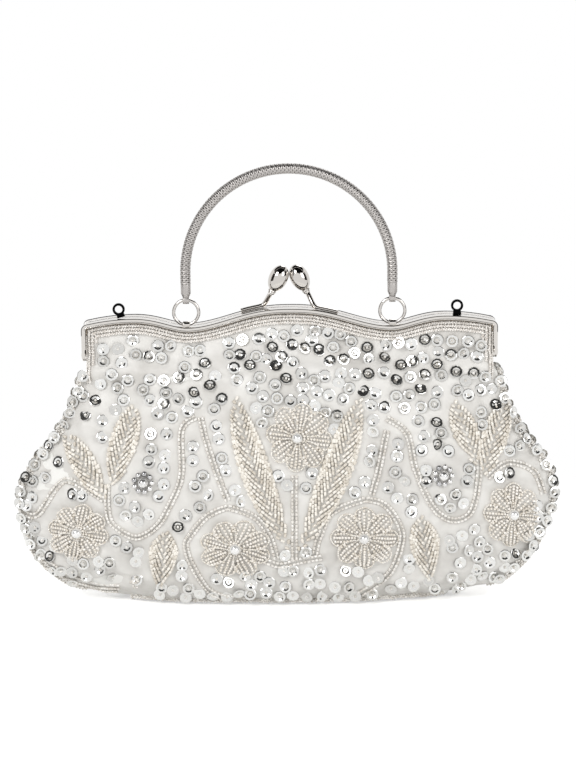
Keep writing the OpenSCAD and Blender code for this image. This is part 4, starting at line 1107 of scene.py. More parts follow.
@dataclass
class Beadwork:
    """The beadwork of the front face, read from the photograph and laid on the cloth."""

    satin: Satin
    finishes: Finishes
    petal_bead: Bead = Bead(0.74 * MM, 1.35 * MM, 1.42 * MM, 1.15 * MM)
    heart_bead: Bead = Bead(0.74 * MM, 1.35 * MM, 1.4 * MM, 1.3 * MM)
    outline_bead: Bead = Bead(0.5 * MM, 1.0 * MM, 0.95 * MM, 0.8 * MM, 6, 4)
    leaf_bead: Bead = Bead(0.74 * MM, 2.2 * MM, 2.2 * MM, 0.8 * MM)
    vine_bead: Bead = Bead(0.66 * MM, 1.65 * MM, 1.85 * MM, 0.6 * MM, 8)
    cord_bead: Bead = Bead(0.66 * MM, 1.65 * MM, 1.6 * MM, 0.6 * MM, 8)
    base_bead: Bead = Bead(0.68 * MM, 1.3 * MM)
    holder_bead: Bead = Bead(0.72 * MM, 1.3 * MM)
    silver_bead: Bead = Bead(1.0 * MM, 2.0 * MM, sides=14, rings=9)
    crystal_bead: Bead = Bead(1.0 * MM, 2.0 * MM, sides=10, rings=7)
    border_bead: Bead = Bead(0.55 * MM, 1.05 * MM, 1.05 * MM, sides=6, rings=4)
    dark_bead: Bead = Bead(0.5 * MM, 0.95 * MM, 0.95 * MM, 0.5 * MM, 6, 4)
    blossoms: tuple[Blossom, ...] = (
        Blossom((299.3, 437.3), (66, 68), 8), Blossom((235.2, 547.9), (72, 56), 20),
        Blossom((364.3, 537.5), (68, 60), 0), Blossom((78.9, 531.8), (60, 56), 12),
        Blossom((511.4, 514.2), (56, 63), 4))
    daisies: tuple[Pixel, ...] = ((142.9, 482.7), (442.6, 475.3))
    leaves: tuple[Leaf, ...] = (
        Leaf((289, 548), (235, 396), 15, -6), Leaf((300, 550), (360, 397), 15, 5),
        Leaf((107, 503), (65, 431), 12.5), Leaf((110, 488), (136, 402), 13.5),
        Leaf((477.5, 464), (453, 400), 12.5), Leaf((481.5, 478), (506, 398), 13.0),
        Leaf((160, 588), (166, 530), 14.5), Leaf((431, 580), (420, 515), 14.5))
    vines: tuple[tuple[Pixel, ...], ...] = (
        ((196, 417), (182, 430), (181.6, 475), (171.8, 501), (157.5, 525), (137.9, 537), (120, 530),
         (109, 516), (107.5, 484)),
        ((200.8, 417), (205.7, 439), (216, 471), (228, 501)),
        ((228, 507), (207.5, 516), (191.4, 534), (186, 548), (198.6, 576), (216, 594), (252, 600)),
        ((228, 507), (255.7, 517.5), (270, 537), (277, 559)),
        ((24, 512), (37.9, 514), (59.3, 485), (73.6, 482), (104, 500)),
        ((294.5, 475), (294.5, 520), (294.5, 560)),
        ((264, 560), (280, 565), (298, 561), (322, 557)),
        ((386.7, 430), (379, 468), (371.4, 495)),
        ((365.7, 499), (333, 512), (320, 535), (315, 554)),
        ((365.7, 499), (385, 505), (400, 526), (401, 545), (388.6, 573.5), (358, 594.5)),
        ((386, 418), (407, 433.5), (415, 468), (432.6, 506.5), (451.7, 520), (469, 514),
         (476.6, 493), (479.5, 455)),
        ((487, 478), (500, 466), (513, 462.5), (534, 472), (543, 494)))
    # Smooth cords that lie side by side along the lower left edge
    cords: tuple[tuple[Pixel, ...], ...] = (
        ((36, 553), (50, 568), (72, 580), (98, 587), (120, 588)),
        ((40, 551), (54, 564), (75, 576), (99, 583), (120, 585)),
        ((36, 556), (49, 571), (71, 583), (97, 590), (118, 591)))
    # The knot's middle, its beads, how far it stands off the cloth, and how far its beads are strewn
    knot: Pixel = (137, 581)
    knot_beads: int = 26
    knot_stand: float = 1.6 * MM
    knot_reach: Pair = (0.6 * MM, 2.9 * MM)
    # The rope along the foot: half its length and its height as shares of the cloth's, and how it is twisted
    foot_reach: float = 0.93
    foot_share: float = 0.04
    foot_steps: int = 420
    foot_turn_steps: int = 9
    foot_stand: float = 0.8 * MM
    foot_r: float = 0.55 * MM
    sequin: Sequin = Sequin()
    # A sequin faces between the cloth's normal and the camera, by these shares, and is tilted by chance
    sequin_face: Pair = (0.55, 0.45)
    sequin_tilt: float = 0.16
    # How far it stands off the cloth: outright, and as a share of the radius for its tip
    sequin_lift: float = 0.3 * MM
    tip_lift: float = 0.45
    # Fewer of the sequins below this pixel are deep enough to catch a dark crescent
    shallow_from: float = 440.0
    deep_shares: Pair = (0.6, 0.35)
    deep_cup: Pair = (0.85, 1.1)
    shallow_cup: Pair = (0.4, 0.62)
    row_gap_px: float = 4.3
    petals: int = 8
    petal_half: float = 0.31
    petal_root: float = 0.14
    heart_px: float = 5.4
    # Each row that fills a petal: its place across, and its start and end between the middle and the rim
    petal_rows: tuple[Triple, ...] = (
        (0.0, 0.22, 0.93), (-0.42, 0.34, 0.9), (0.42, 0.34, 0.9), (-0.82, 0.5, 0.82), (0.82, 0.5, 0.82))
    petal_over: float = 0.8 * MM
    petal_dome: float = 0.3 * MM
    leaf_row_px: float = 7.2
    leaf_lean: Pair = (36.0, 12.0)
    leaf_curl: float = 1.0
    # The most places of a leaf's row, a pixel apart, and the fewest of a row that is kept
    leaf_steps: int = 60
    leaf_least: int = 4
    # Height over the cloth and size of a daisy's middle bead and of the beads round it, and their radius
    daisy_middle: Pair = (2.0 * MM, 2.6)
    daisy_ring: Pair = (1.35 * MM, 1.45)
    daisy_r: float = 4.5 * MM
    daisy_petals: int = 9
    crystal_seat: Pair = (2.5 * MM, 2.75)
    # Each rope of the border: its distance inside the frame's outline, and how low it goes along the legs
    border_ropes: tuple[Pair, ...] = (
        (3.75 * MM, 112.5 * MM), (5.5 * MM, 122 * MM), (7.2 * MM, 133 * MM))
    border_edge: Pair = (2.45 * MM, 112.5 * MM)
    rope_r: float = 0.45 * MM
    rope_rise: float = 0.62 * MM
    rope_flat: float = 0.6
    rope_twist: float = 3.4 * MM
    # The edge row is dark above this height alone: its dark beads paint the shadow of the frame's lip. Lower
    # down its beads are pale and stand out
    dark_from: float = 137 * MM
    pale_lift: float = 0.3 * MM
    # Sequins, each at its middle in the photograph
    sequins: tuple[Pixel, ...] = (
        (133, 340), (158, 346), (170, 345), (229, 343), (243, 340), (259, 339), (272, 334), (284, 336),
        (292, 345), (297, 330), (312, 340), (315, 331), (328, 333), (333, 348), (340, 334), (351, 341),
        (386, 345), (399, 343), (411, 344), (425, 340), (437, 340), (452, 341), (468, 341), (481, 345),
        (103, 349), (104, 361), (118, 349), (122, 363), (136, 355), (149, 357), (161, 358), (185, 367),
        (189, 351), (200, 350), (205, 364), (230, 355), (234, 368), (240, 355), (250, 366), (256, 356),
        (266, 359), (272, 348), (276, 366), (282, 357), (293, 363), (304, 349), (319, 350), (330, 361),
        (343, 360), (354, 353), (367, 348), (368, 360), (384, 358), (401, 366), (412, 362), (423, 359),
        (437, 365), (438, 352), (451, 355), (463, 353), (477, 357), (83, 375), (101, 383), (112, 374),
        (118, 388), (128, 380), (143, 390), (150, 379), (164, 381), (166, 393), (179, 378), (194, 393),
        (197, 375), (210, 386), (215, 376), (237, 380), (252, 388), (260, 377), (275, 385), (286, 379),
        (302, 373), (303, 388), (314, 380), (317, 392), (325, 376), (329, 395), (339, 383), (341, 373),
        (349, 388), (355, 374), (363, 391), (368, 374), (375, 393), (384, 373), (396, 380), (409, 395),
        (410, 377), (420, 389), (424, 375), (437, 392), (441, 375), (456, 372), (457, 390), (465, 380),
        (468, 395), (473, 373), (480, 390), (485, 376), (491, 389), (84, 396), (86, 415), (96, 401),
        (116, 410), (124, 400), (150, 400), (158, 413), (164, 404), (172, 417), (179, 399), (188, 411),
        (196, 402), (214, 409), (222, 399), (256, 408), (263, 396), (268, 411), (277, 398), (291, 401),
        (303, 400), (315, 406), (325, 412), (337, 416), (343, 399), (371, 405), (373, 420), (384, 407),
        (396, 396), (404, 408), (421, 407), (434, 404), (481, 412), (495, 405), (56, 438), (103, 421),
        (103, 437), (151, 434), (167, 434), (216, 426), (219, 439), (262, 422), (334, 429), (373, 431),
        (398, 444), (418, 421), (423, 436), (436, 423), (441, 432), (482, 424), (50, 446), (59, 462),
        (149, 462), (152, 449), (164, 468), (165, 455), (193, 447), (193, 460), (222, 458), (370, 461),
        (372, 451), (397, 456), (421, 450), (438, 445), (448, 451), (509, 451), (519, 445), (33, 481),
        (46, 477), (125, 488), (164, 484), (195, 486), (203, 476), (226, 470), (235, 490), (278, 476),
        (287, 485), (306, 488), (312, 473), (355, 492), (365, 482), (388, 487), (395, 472), (404, 481),
        (426, 470), (426, 481), (467, 481), (469, 469), (499, 477), (509, 473), (28, 505), (33, 497),
        (73, 494), (82, 496), (119, 500), (126, 515), (135, 507), (149, 514), (159, 496), (186, 515),
        (200, 507), (208, 495), (241, 501), (397, 498), (411, 512), (412, 499), (440, 499), (450, 507),
        (455, 494), (463, 503), (536, 505), (537, 516), (546, 516), (27, 525), (28, 536), (36, 527),
        (43, 540),
        (116, 540), (138, 521), (178, 527), (449, 540), (462, 535), (474, 529), (528, 534), (537, 530),
        (43, 553), (51, 556), (55, 547), (73, 560), (84, 563), (99, 561), (110, 562), (127, 547), (136, 561),
        (139, 552), (285, 555), (306, 552), (409, 558), (452, 547), (460, 562), (468, 550), (477, 556),
        (479, 541), (487, 548), (489, 562), (504, 555), (515, 553), (530, 547), (539, 547), (62, 569),
        (73, 571), (86, 575), (101, 569), (113, 576), (138, 579), (162, 586), (182, 565), (182, 575),
        (189, 587), (217, 578), (228, 581), (245, 575), (251, 584), (260, 576), (269, 582), (284, 570),
        (286, 586), (293, 570), (309, 572), (309, 583), (320, 569), (320, 583), (335, 586), (345, 570),
        (348, 586), (358, 571), (369, 580), (378, 577), (391, 588), (401, 582), (409, 568), (413, 585),
        (428, 580), (434, 587), (452, 576), (460, 583), (470, 578), (476, 568), (482, 575), (492, 576),
        (504, 566), (173, 589), (200, 592), (239, 592), (250, 593), (266, 591), (444, 592),
        (160, 594), (186, 596), (213, 595), (227, 596), (280, 595), (293, 594), (307, 596), (322, 594),
        (338, 596), (355, 595), (372, 593), (386, 597), (401, 595), (418, 594), (431, 596), (458, 591),
    )

    def stitches(self) -> list[Vector]:
        """Return the places where thread pulls the smooth cloth in."""
        rims = [blossom.spot(a, 1.0, 0.0) for blossom in self.blossoms for a in ring_angles(24)]
        places = [self.satin.hit(p)[0] for p in (*self.sequins, *rims)]
        for vine in self.vines:
            places += self.satin.thread(vine, steps=6).places
        for leaf in self.leaves:
            places += self.satin.thread([leaf.root, leaf.tip], steps=16).places
        return places

    def _petal(self, blossom: Blossom, angle: float) -> list[Pixel]:
        """Return the outline of a petal, in pixels: an almond, fuller towards the rim."""
        out = []
        for a in ring_angles(16):
            part = (1 - math.cos(a)) / 2
            side = math.copysign(abs(math.sin(a)) ** 1.15, math.sin(a))
            across = self.petal_half * side * (0.68 + 0.5 * part)
            out.append(blossom.spot(angle, self.petal_root + (1 - self.petal_root) * part, across))
        return out

    def _petal_row(self, blossom: Blossom, angle: float, across: float, start: float,
                   end: float) -> list[Pixel]:
        """Return one row that fills a petal, in pixels, from near the flower's middle to its rim."""
        out = []
        for along in np.linspace(start, end, 6):
            spread = math.sin(math.pi * min((along - 0.1) / 1.12, 1.0)) ** 0.8
            out.append(blossom.spot(angle, along, across * self.petal_half * spread))
        return out

    def flowers(self) -> list[Object]:
        """Make the five flowers: eight overlapping petals, each a pale outline filled with rows of beads."""
        filling, outlines = [], []
        for blossom in self.blossoms:
            for i in range(self.petals):
                angle = math.radians(blossom.turn) + 2 * math.pi * i / self.petals
                # Every other petal lies over its neighbours
                over = self.petal_over * (i % 2)
                edge = self.satin.thread(self._petal(blossom, angle), closed=True, steps=3)
                outlines += edge.beads(self.outline_bead, over)
                for across, start, end in self.petal_rows:
                    row = self.satin.thread(self._petal_row(blossom, angle, across, start, end), steps=5)
                    filling += row.beads(self.petal_bead, over - self.petal_dome * abs(across))
            heart = [(blossom.middle[0] + self.heart_px * math.cos(a), blossom.middle[1]
                      + self.heart_px * math.sin(a)) for a in ring_angles(10)]
            filling += self.satin.thread(heart, closed=True, steps=3).beads(self.heart_bead)
        look = self.finishes
        return [scatter("front_flower_beads", self.petal_bead.rounded(), filling, look.seed, 11),
                scatter("front_flower_outlines", self.outline_bead.rounded(), outlines, look.outline, 17)]

    def _leaf_row(self, leaf: Leaf, along: float, side: int) -> list[Pixel]:
        """Return one row of a leaf: it leaves the vein and bends towards the tip, up to the leaf's edge.

        Args:
            leaf: The leaf.
            along: Where the row leaves the vein, as a share of its length.
            side: 1 or -1, the vein's side.

        Returns:
            The row's pixels.
        """
        length = math.dist(leaf.root, leaf.tip)
        share, out = along, 1.0
        first, last = self.leaf_lean
        row = []
        for step in range(self.leaf_steps):
            place, ahead = leaf.vein(share)
            row.append(tuple(place + np.array((-ahead[1], ahead[0])) * side * out))
            lean = math.radians(max(first - self.leaf_curl * step, last))
            share += math.cos(lean) / length
            out += math.sin(lean)
            width = leaf.half * max(math.sin(math.pi * min(max(share, 0.03), 0.985) ** 1.15), 0.0) ** 0.55
            if share > 1.03 or out > width:
                break
        return row

    def leaf_beads(self) -> Object:
        """Make the leaves: rows of long beads that climb outwards on both sides of a vein."""
        places = []
        for leaf in self.leaves:
            rows = int(math.dist(leaf.root, leaf.tip) / self.leaf_row_px)
            for side, first in ((-1, 0.0), (1, 0.5)):
                for k in range(rows):
                    row = self._leaf_row(leaf, (k + first) / rows, side)
                    if len(row) >= self.leaf_least:
                        bent = self.satin.thread([row[0], row[len(row) // 2], row[-1]], steps=6)
                        places += bent.beads(self.leaf_bead)
        return scatter("front_leaf_beads", self.leaf_bead.bugle(), places, self.finishes.leaf, 12)

    def vine_beads(self) -> Object:
        """Make the vines, two rows of long clear beads each, and the smooth cords at the lower left."""
        places = []
        for vine in self.vines:
            curve = through(vine, steps=10)
            for side in (-0.5, 0.5):
                row = []
                for i, (x, y) in enumerate(curve):
                    a, b = curve[max(i - 1, 0)], curve[min(i + 1, len(curve) - 1)]
                    aside = side * self.row_gap_px / (math.dist(a, b) or 1.0)
                    row.append(self.satin.hit((x - (b[1] - a[1]) * aside, y + (b[0] - a[0]) * aside)))
                places += Thread.of(row).beads(self.vine_bead)
        for cord in self.cords:
            places += self.satin.thread(cord).beads(self.cord_bead)
        return scatter("front_vine_beads", self.vine_bead.bugle(), places, self.finishes.rope, 13)

    def edge_cluster(self) -> Object:
        """Make the knot of beads low on the left, and the rope of beads along the foot of the cloth."""
        rng = np.random.default_rng(23)
        places = []
        middle, normal = self.satin.hit(self.knot)
        for _ in range(self.knot_beads):
            away = Vector(rng.normal(0, 1, 3)).normalized()
            place = middle + normal * self.knot_stand + away * rng.uniform(*self.knot_reach)
            place.z = max(place.z, 1.0 * MM)
            places.append(seat(place, away, Vector(rng.normal(0, 1, 3))))
        for strand in (0, 1):
            points, normals = [], []
            for k, t in enumerate(np.linspace(-self.foot_reach, self.foot_reach, self.foot_steps)):
                turn = 2 * math.pi * (k / self.foot_turn_steps + strand / 2)
                place, out = self.satin.near(self.satin.form.skin(float(t), self.foot_share))
                wind = Vector((0, 0, 1)) * math.cos(turn) + out * math.sin(turn)
                place = place + out * self.foot_stand + wind * self.foot_r
                place.z = max(place.z, 0.8 * MM)
                points.append(place)
                normals.append(out)
            places += Thread(points, normals).beads(self.base_bead)
        return scatter("front_base_beads", self.base_bead.rounded(), places, self.finishes.rope, 24)

    def sequin_cups(self) -> list[Object]:
        """Make the sequins, each tipped forward by its thread, and the small bead that holds each."""
        rng = np.random.default_rng(21)
        radius = self.sequin.radius
        flat, forward = self.sequin_face
        places = []
        for pixel in self.sequins:
            place, normal = self.satin.hit(pixel)
            ahead = (self.satin.view.eye() - place).normalized()
            up = (normal * flat + ahead * forward + Vector(rng.normal(0, self.sequin_tilt, 3))).normalized()
            deep = rng.random() < self.deep_shares[pixel[1] >= self.shallow_from]
            cup = Matrix.Diagonal((1, 1, rng.uniform(*(self.deep_cup if deep else self.shallow_cup)), 1))
            along = Vector(rng.normal(0, 1, 3))
            tip = math.sqrt(max(1 - up.dot(normal) ** 2, 0.0))
            place = place + up * self.sequin_lift + normal * tip * radius * self.tip_lift
            # Near the floor it is lifted until its rim and its cup clear it
            reach = radius * math.sqrt(max(1 - up.z ** 2, 0.0)) + (0.25 + 1.2 * max(-up.z, 0.0)) * MM
            place.z = max(place.z, reach)
            places.append(seat(place, up, along) @ cup)
        beads = [place @ Matrix.Translation((0, 0, CUP_RISE)) for place in places]
        return [scatter("front_sequin_cups", self.sequin.mesh(), places, self.finishes.sequin, 14),
                scatter("front_sequin_beads", self.holder_bead.rounded(), beads, self.finishes.rope, 19)]

    def daisy_beads(self) -> list[Object]:
        """Make the two silver daisies and the crystals in the flowers' middles."""
        places = []
        rise, size = self.daisy_middle
        ring_rise, ring_size = self.daisy_ring
        for pixel in self.daisies:
            base = seat(*self.satin.hit(pixel), Vector((1, 0, 0)))
            places.append(base @ Matrix.Translation((0, 0, rise)) @ Matrix.Scale(size, 4))
            for a in ring_angles(self.daisy_petals):
                out = Matrix.Rotation(a, 4, "Z") @ Matrix.Translation((self.daisy_r, 0, ring_rise))
                places.append(base @ out @ Matrix.Scale(ring_size, 4))
        crystals = [seat(*self.satin.hit(blossom.middle), Vector((1, 0, 0)), *self.crystal_seat)
                    for blossom in self.blossoms]
        look = self.finishes
        return [scatter("front_polished_beads", self.silver_bead.rounded(), places, look.polished, 15),
                scatter("front_flower_crystals", self.crystal_bead.rounded(), crystals, look.crystal, 20)]

    def _border_path(self, inset: float, foot: float) -> Thread:
        """Lay a row on the cloth inside the frame's outline, from one leg's foot to the other's."""
        return Thread.of([self.satin.behind(x, z) for x, z in self.satin.form.outline(inset, foot)])

    def border(self) -> list[Object]:
        """Make the rows along the frame's edge and legs: one of dark beads, which paint the lip's shadow
        along the top, then three twisted ropes.
        """
        places = []
        for inset, foot in self.border_ropes:
            core = self._border_path(inset, foot)
            runs = running_lengths(core.places)
            last = len(core.places) - 1
            for strand in (0, 1):
                points = []
                for i, (place, normal, run) in enumerate(zip(core.places, core.normals, runs)):
                    way = core.places[min(i + 1, last)] - core.places[max(i - 1, 0)]
                    across = normal.cross(way.normalized())
                    turn = 2 * math.pi * (run / self.rope_twist + strand / 2)
                    rise = self.rope_rise + self.rope_r * (1 + math.sin(turn)) * self.rope_flat
                    points.append(place + across * self.rope_r * math.cos(turn) + normal * rise)
                places += Thread(points, core.normals).beads(self.border_bead)
        dark = []
        for bead in self._border_path(*self.border_edge).beads(self.dark_bead):
            if bead.translation.z > self.dark_from:
                dark.append(bead)
            else:
                places.append(bead @ Matrix.Translation((0, 0, self.pale_lift)))
        return [scatter("front_border_beads", self.border_bead.rounded(), places, self.finishes.border, 16),
                scatter("front_border_edge_beads", self.dark_bead.rounded(), dark, self.finishes.lip_shadow_glass, 18)]


@dataclass
class SeamRope:
    """The twisted rope of beads over each side seam, with sequins on edge and loops of beads beside it."""

    form: PouchForm
    finishes: Finishes
    low: float = 5 * MM
    high: float = 117.5 * MM
    stand: float = 0.9 * MM
    # How much further in the trimmings lie below these heights, since the seam's foot is bare
    tuck: float = 1.3 * MM
    tuck_z: Pair = (24 * MM, 46 * MM)
    bead: Bead = Bead()
    strands: int = 3
    twist_pitch: float = 5.5 * MM
    strand_r: float = 0.75 * MM
    loop_step: float = 5.6 * MM
    loop_r: float = 1.9 * MM
    loop_beads: int = 8
    sequin_gap: Pair = (5.0 * MM, 8.5 * MM)

    def _inward(self, z: float) -> float:
        """Return how much further in the trimmings lie at a height."""
        return self.tuck * (1 - smoothstep(*self.tuck_z, z))

    def _core(self, z: float) -> Vector:
        """Return the rope's middle at a height, on the right."""
        return Vector((self.form.half_w(z) + self.stand + 0.5 * self._inward(z), 0, z))

    def _way(self, z: float) -> tuple[Vector, Vector]:
        """Return the rope's direction and its outward direction at a height, on the right."""
        ahead = (self._core(min(z + MM, self.high)) - self._core(max(z - MM, self.low))).normalized()
        return ahead, Vector((0, 1, 0)).cross(ahead).normalized()

    def _placed(self, place: Vector, side: int, z: float) -> Vector:
        """Return a place of the right seam, moved to its own side and swayed as at a height."""
        return Vector((place.x * side + self.form.sway(z), place.y, place.z))

    def _seated(self, place: Vector, normal: Vector, along: Vector, side: int) -> Matrix:
        """Seat a shape on its own side's seam, from its place and directions on the right."""
        normal, along = (Vector((way.x * side, way.y, way.z)) for way in (normal, along))
        return seat(self._placed(place, side, place.z), normal, along)

    def _rope(self, side: int) -> list[Matrix]:
        """Return the beads of the rope's twisted strands."""
        heights = np.linspace(self.low, self.high, 240)
        cores = [self._core(z) for z in heights]
        places = []
        for strand in range(self.strands):
            points, normals = [], []
            for z, core, run in zip(heights, cores, running_lengths(cores)):
                a = 2 * math.pi * (run / self.twist_pitch + strand / self.strands)
                away = self._way(z)[1] * math.cos(a) + Vector((0, 1, 0)) * math.sin(a)
                points.append(self._placed(core + away * (self.strand_r + 0.5 * self._inward(z)), side, z))
                normals.append(Vector((away.x * side, away.y, away.z)))
            places += Thread(points, normals).beads(self.bead)
        return places

    def _loops(self, side: int, seed: int) -> list[Matrix]:
        """Return the small loops of beads that stand out from the rope, each turned its own way."""
        rng = np.random.default_rng(seed)
        places = []
        z = self.low + self.loop_step
        while z < self.high - 2 * MM:
            ahead, out = self._way(z)
            for face in (-1, 1):
                middle = self._core(z + rng.uniform(-1, 1) * MM)
                middle += out * (rng.uniform(-0.7, 0.7) * MM - self._inward(z))
                middle += Vector((0, face * (rng.uniform(1.2, 2.8) * MM + self._inward(z)), 0))
                tilt = (out + Vector((0, face * 0.9, 0)) + Vector(rng.normal(0, 0.5, 3))).normalized()
                turn = seat(Vector((0, 0, 0)), tilt, ahead).to_3x3()
                for a in ring_angles(self.loop_beads):
                    spot = middle + turn @ Vector((math.cos(a), math.sin(a), 0)) * self.loop_r
                    along = turn @ Vector((-math.sin(a), math.cos(a), 0))
                    places.append(self._seated(spot, tilt, along, side))
            z += self.loop_step
        return places

    def _sequins(self, side: int, seed: int) -> list[Matrix]:
        """Return where the sequins stand on edge along one seam."""
        rng = np.random.default_rng(seed)
        places = []
        z = self.low + 4 * MM
        while z < self.high - 3 * MM:
            ahead, out = self._way(z)
            for face in (-1, 1):
                middle = self._core(z + face * 1.7 * MM)
                middle += out * (rng.uniform(-0.9, 0.3) * MM - 1.3 * self._inward(z))
                middle.y = face * (rng.uniform(2.2, 3.4) * MM + 1.3 * self._inward(z))
                tilt = out * rng.uniform(0.15, 0.6) + Vector((0, face, 0)) + Vector(rng.normal(0, 0.22, 3))
                places.append(self._seated(middle, tilt.normalized(), ahead, side))
            z += rng.uniform(*self.sequin_gap)
        return places

    def build(self, name: str, side: int, seed: int) -> tuple[Object, Object]:
        """Make the trimmings of one seam.

        Args:
            name: The seam's name.
            side: 1 for the right seam and -1 for the left.
            seed: Seed of the tilts and tones.

        Returns:
            The rope with its loops, and the sequins.
        """
        cups = self._sequins(side, seed + 20)
        places = self._rope(side) + self._loops(side, seed + 10)
        places += [place @ Matrix.Translation((0, 0, CUP_RISE)) for place in cups]
        return (scatter(f"{name}_rope", self.bead.rounded(), places, self.finishes.rope, seed),
                scatter(f"{name}_sequins", Sequin().mesh(), cups, self.finishes.sequin, seed + 20))


def sweep(bm: BMesh, path: list[Vector], sizes: list[Pair], sides: int = 12) -> None:
    """Sweep an oval section along a path that is seen from the front.

    Args:
        bm: The mesh that gets the sweep.
        path: The places of the section's middle.
        sizes: The section's half depth and half height at each place.
        sides: Sides of the oval.
    """
    ring = None
    for i, place in enumerate(path):
        ahead = (path[min(i + 1, len(path) - 1)] - path[max(i - 1, 0)]).normalized()
        across = ahead.cross(Vector((0, -1, 0))).normalized()
        turn = Matrix((across.cross(ahead), across, ahead)).transposed().to_4x4()
        seated = Matrix.Translation(place) @ turn @ Matrix.Diagonal((*sizes[i], 1, 1))
        made = bmesh.ops.create_circle(bm, cap_ends=False, segments=sides, radius=1.0, matrix=seated)
        loop = list({e for v in made["verts"] for e in v.link_edges})
        if ring:
            bmesh.ops.bridge_loops(bm, edges=ring + loop)
        else:
            bmesh.ops.edgeloop_fill(bm, edges=loop)
        ring = loop
    bmesh.ops.edgeloop_fill(bm, edges=ring)


@dataclass
class ClaspPart:
    """A part of the kiss clasp, shaped for the front and turned round for the back."""

    side: Side

    def _settle(self, kind: str, bm: BMesh, finish: Finish) -> None:
        """Turn the part to its side, where it replaces its node and rides on the frame."""
        bmesh.ops.transform(bm, matrix=self.side.turn, verts=bm.verts)
        part = smooth_piece(f"{self.side.value}_{kind}", bm, finish)
        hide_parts(f"{self.side.value}_clasp_{kind}")
        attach(part, self.side.frame_body)


@dataclass
class ClaspArm(ClaspPart):
    """One arm of the clasp: a strap brazed on the frame, bent up into the rod that carries the knob."""

    form: PouchForm
    # Places along the strap, with their height over the frame, then along the rod up to the knob's collar
    strap: tuple[Pair, ...] = (
        (24.1 * MM, 1.0 * MM), (21.0 * MM, 1.0 * MM), (18.0 * MM, 1.0 * MM), (14.9 * MM, 1.05 * MM))
    rod: tuple[Triple, ...] = (
        (12.9 * MM, -3.5 * MM, 150.0 * MM), (11.8 * MM, -3.1 * MM, 151.3 * MM),
        (10.9 * MM, -2.1 * MM, 153.0 * MM), (9.95 * MM, -0.7 * MM, 154.9 * MM),
        (9.0 * MM, 0.8 * MM, 156.6 * MM))
    strap_size: Pair = (1.3 * MM, 0.9 * MM)
    rod_size: Pair = (1.2 * MM, 1.25 * MM)
    # Shares of the arm's length between which the strap turns into the rod
    change: Pair = (0.35, 0.6)
    facets: int = 16

    def build(self, finish: Finish) -> None:
        """Sweep the arm and set it on its side of the frame."""
        bm = bmesh.new()
        flat = [(x, self.form.strip_y, self.form.wave(x) + rise) for x, rise in self.strap]
        path = [Vector(place) for place in through(flat + list(self.rod), steps=6)]
        shares = [smoothstep(*self.change, i / (len(path) - 1)) for i in range(len(path))]
        sizes = [tuple(a * (1 - k) + b * k for a, b in zip(self.strap_size, self.rod_size)) for k in shares]
        sweep(bm, path, sizes, self.facets)
        bmesh.ops.recalc_face_normals(bm, faces=bm.faces)
        self._settle("arm", bm, finish)


@dataclass
class ClaspKnob(ClaspPart):
    """One egg-shaped knob of the clasp, turned on a lathe with a stepped collar at its neck."""

    length: float = 14 * MM
    radius: float = 4.7 * MM
    swell: float = 0.04
    lean: float = math.radians(26)
    middle: Triple = (5.299 * MM, 0.8 * MM, 163.9 * MM)
    # The collar's radius and height along the knob, from its foot up
    collar: tuple[Pair, ...] = (
        (0.0, -1.5 * MM), (1.5 * MM, -1.5 * MM), (1.75 * MM, -1.25 * MM), (1.75 * MM, -0.55 * MM),
        (1.6 * MM, -0.4 * MM), (2.1 * MM, -0.25 * MM), (2.15 * MM, 0.15 * MM), (1.95 * MM, 0.4 * MM))
    steps: int = 28
    facets: int = 48

    def build(self, finish: Finish) -> None:
        """Spin the knob's profile, lean it and set it on its arm."""
        profile = [Vector((r, 0, z)) for r, z in self.collar]
        for a in np.linspace(0, math.pi, self.steps + 1):
            r = self.radius * math.sin(a) * (1 - self.swell * math.cos(a))
            z = self.length / 2 * (1 - math.cos(a))
            if z > self.collar[-1][1]:
                profile.append(Vector((max(r, 0), 0, z)))
        bm = lathe(profile, Vector((0, 0, 1)), self.facets)
        axis = Vector((-math.sin(self.lean), 0, math.cos(self.lean)))
        foot = Matrix.Translation(Vector(self.middle) - axis * self.length / 2)
        turn = Vector((0, 0, 1)).rotation_difference(axis).to_matrix().to_4x4()
        bmesh.ops.transform(bm, matrix=foot @ turn, verts=bm.verts)
        self._settle("knob", bm, finish)


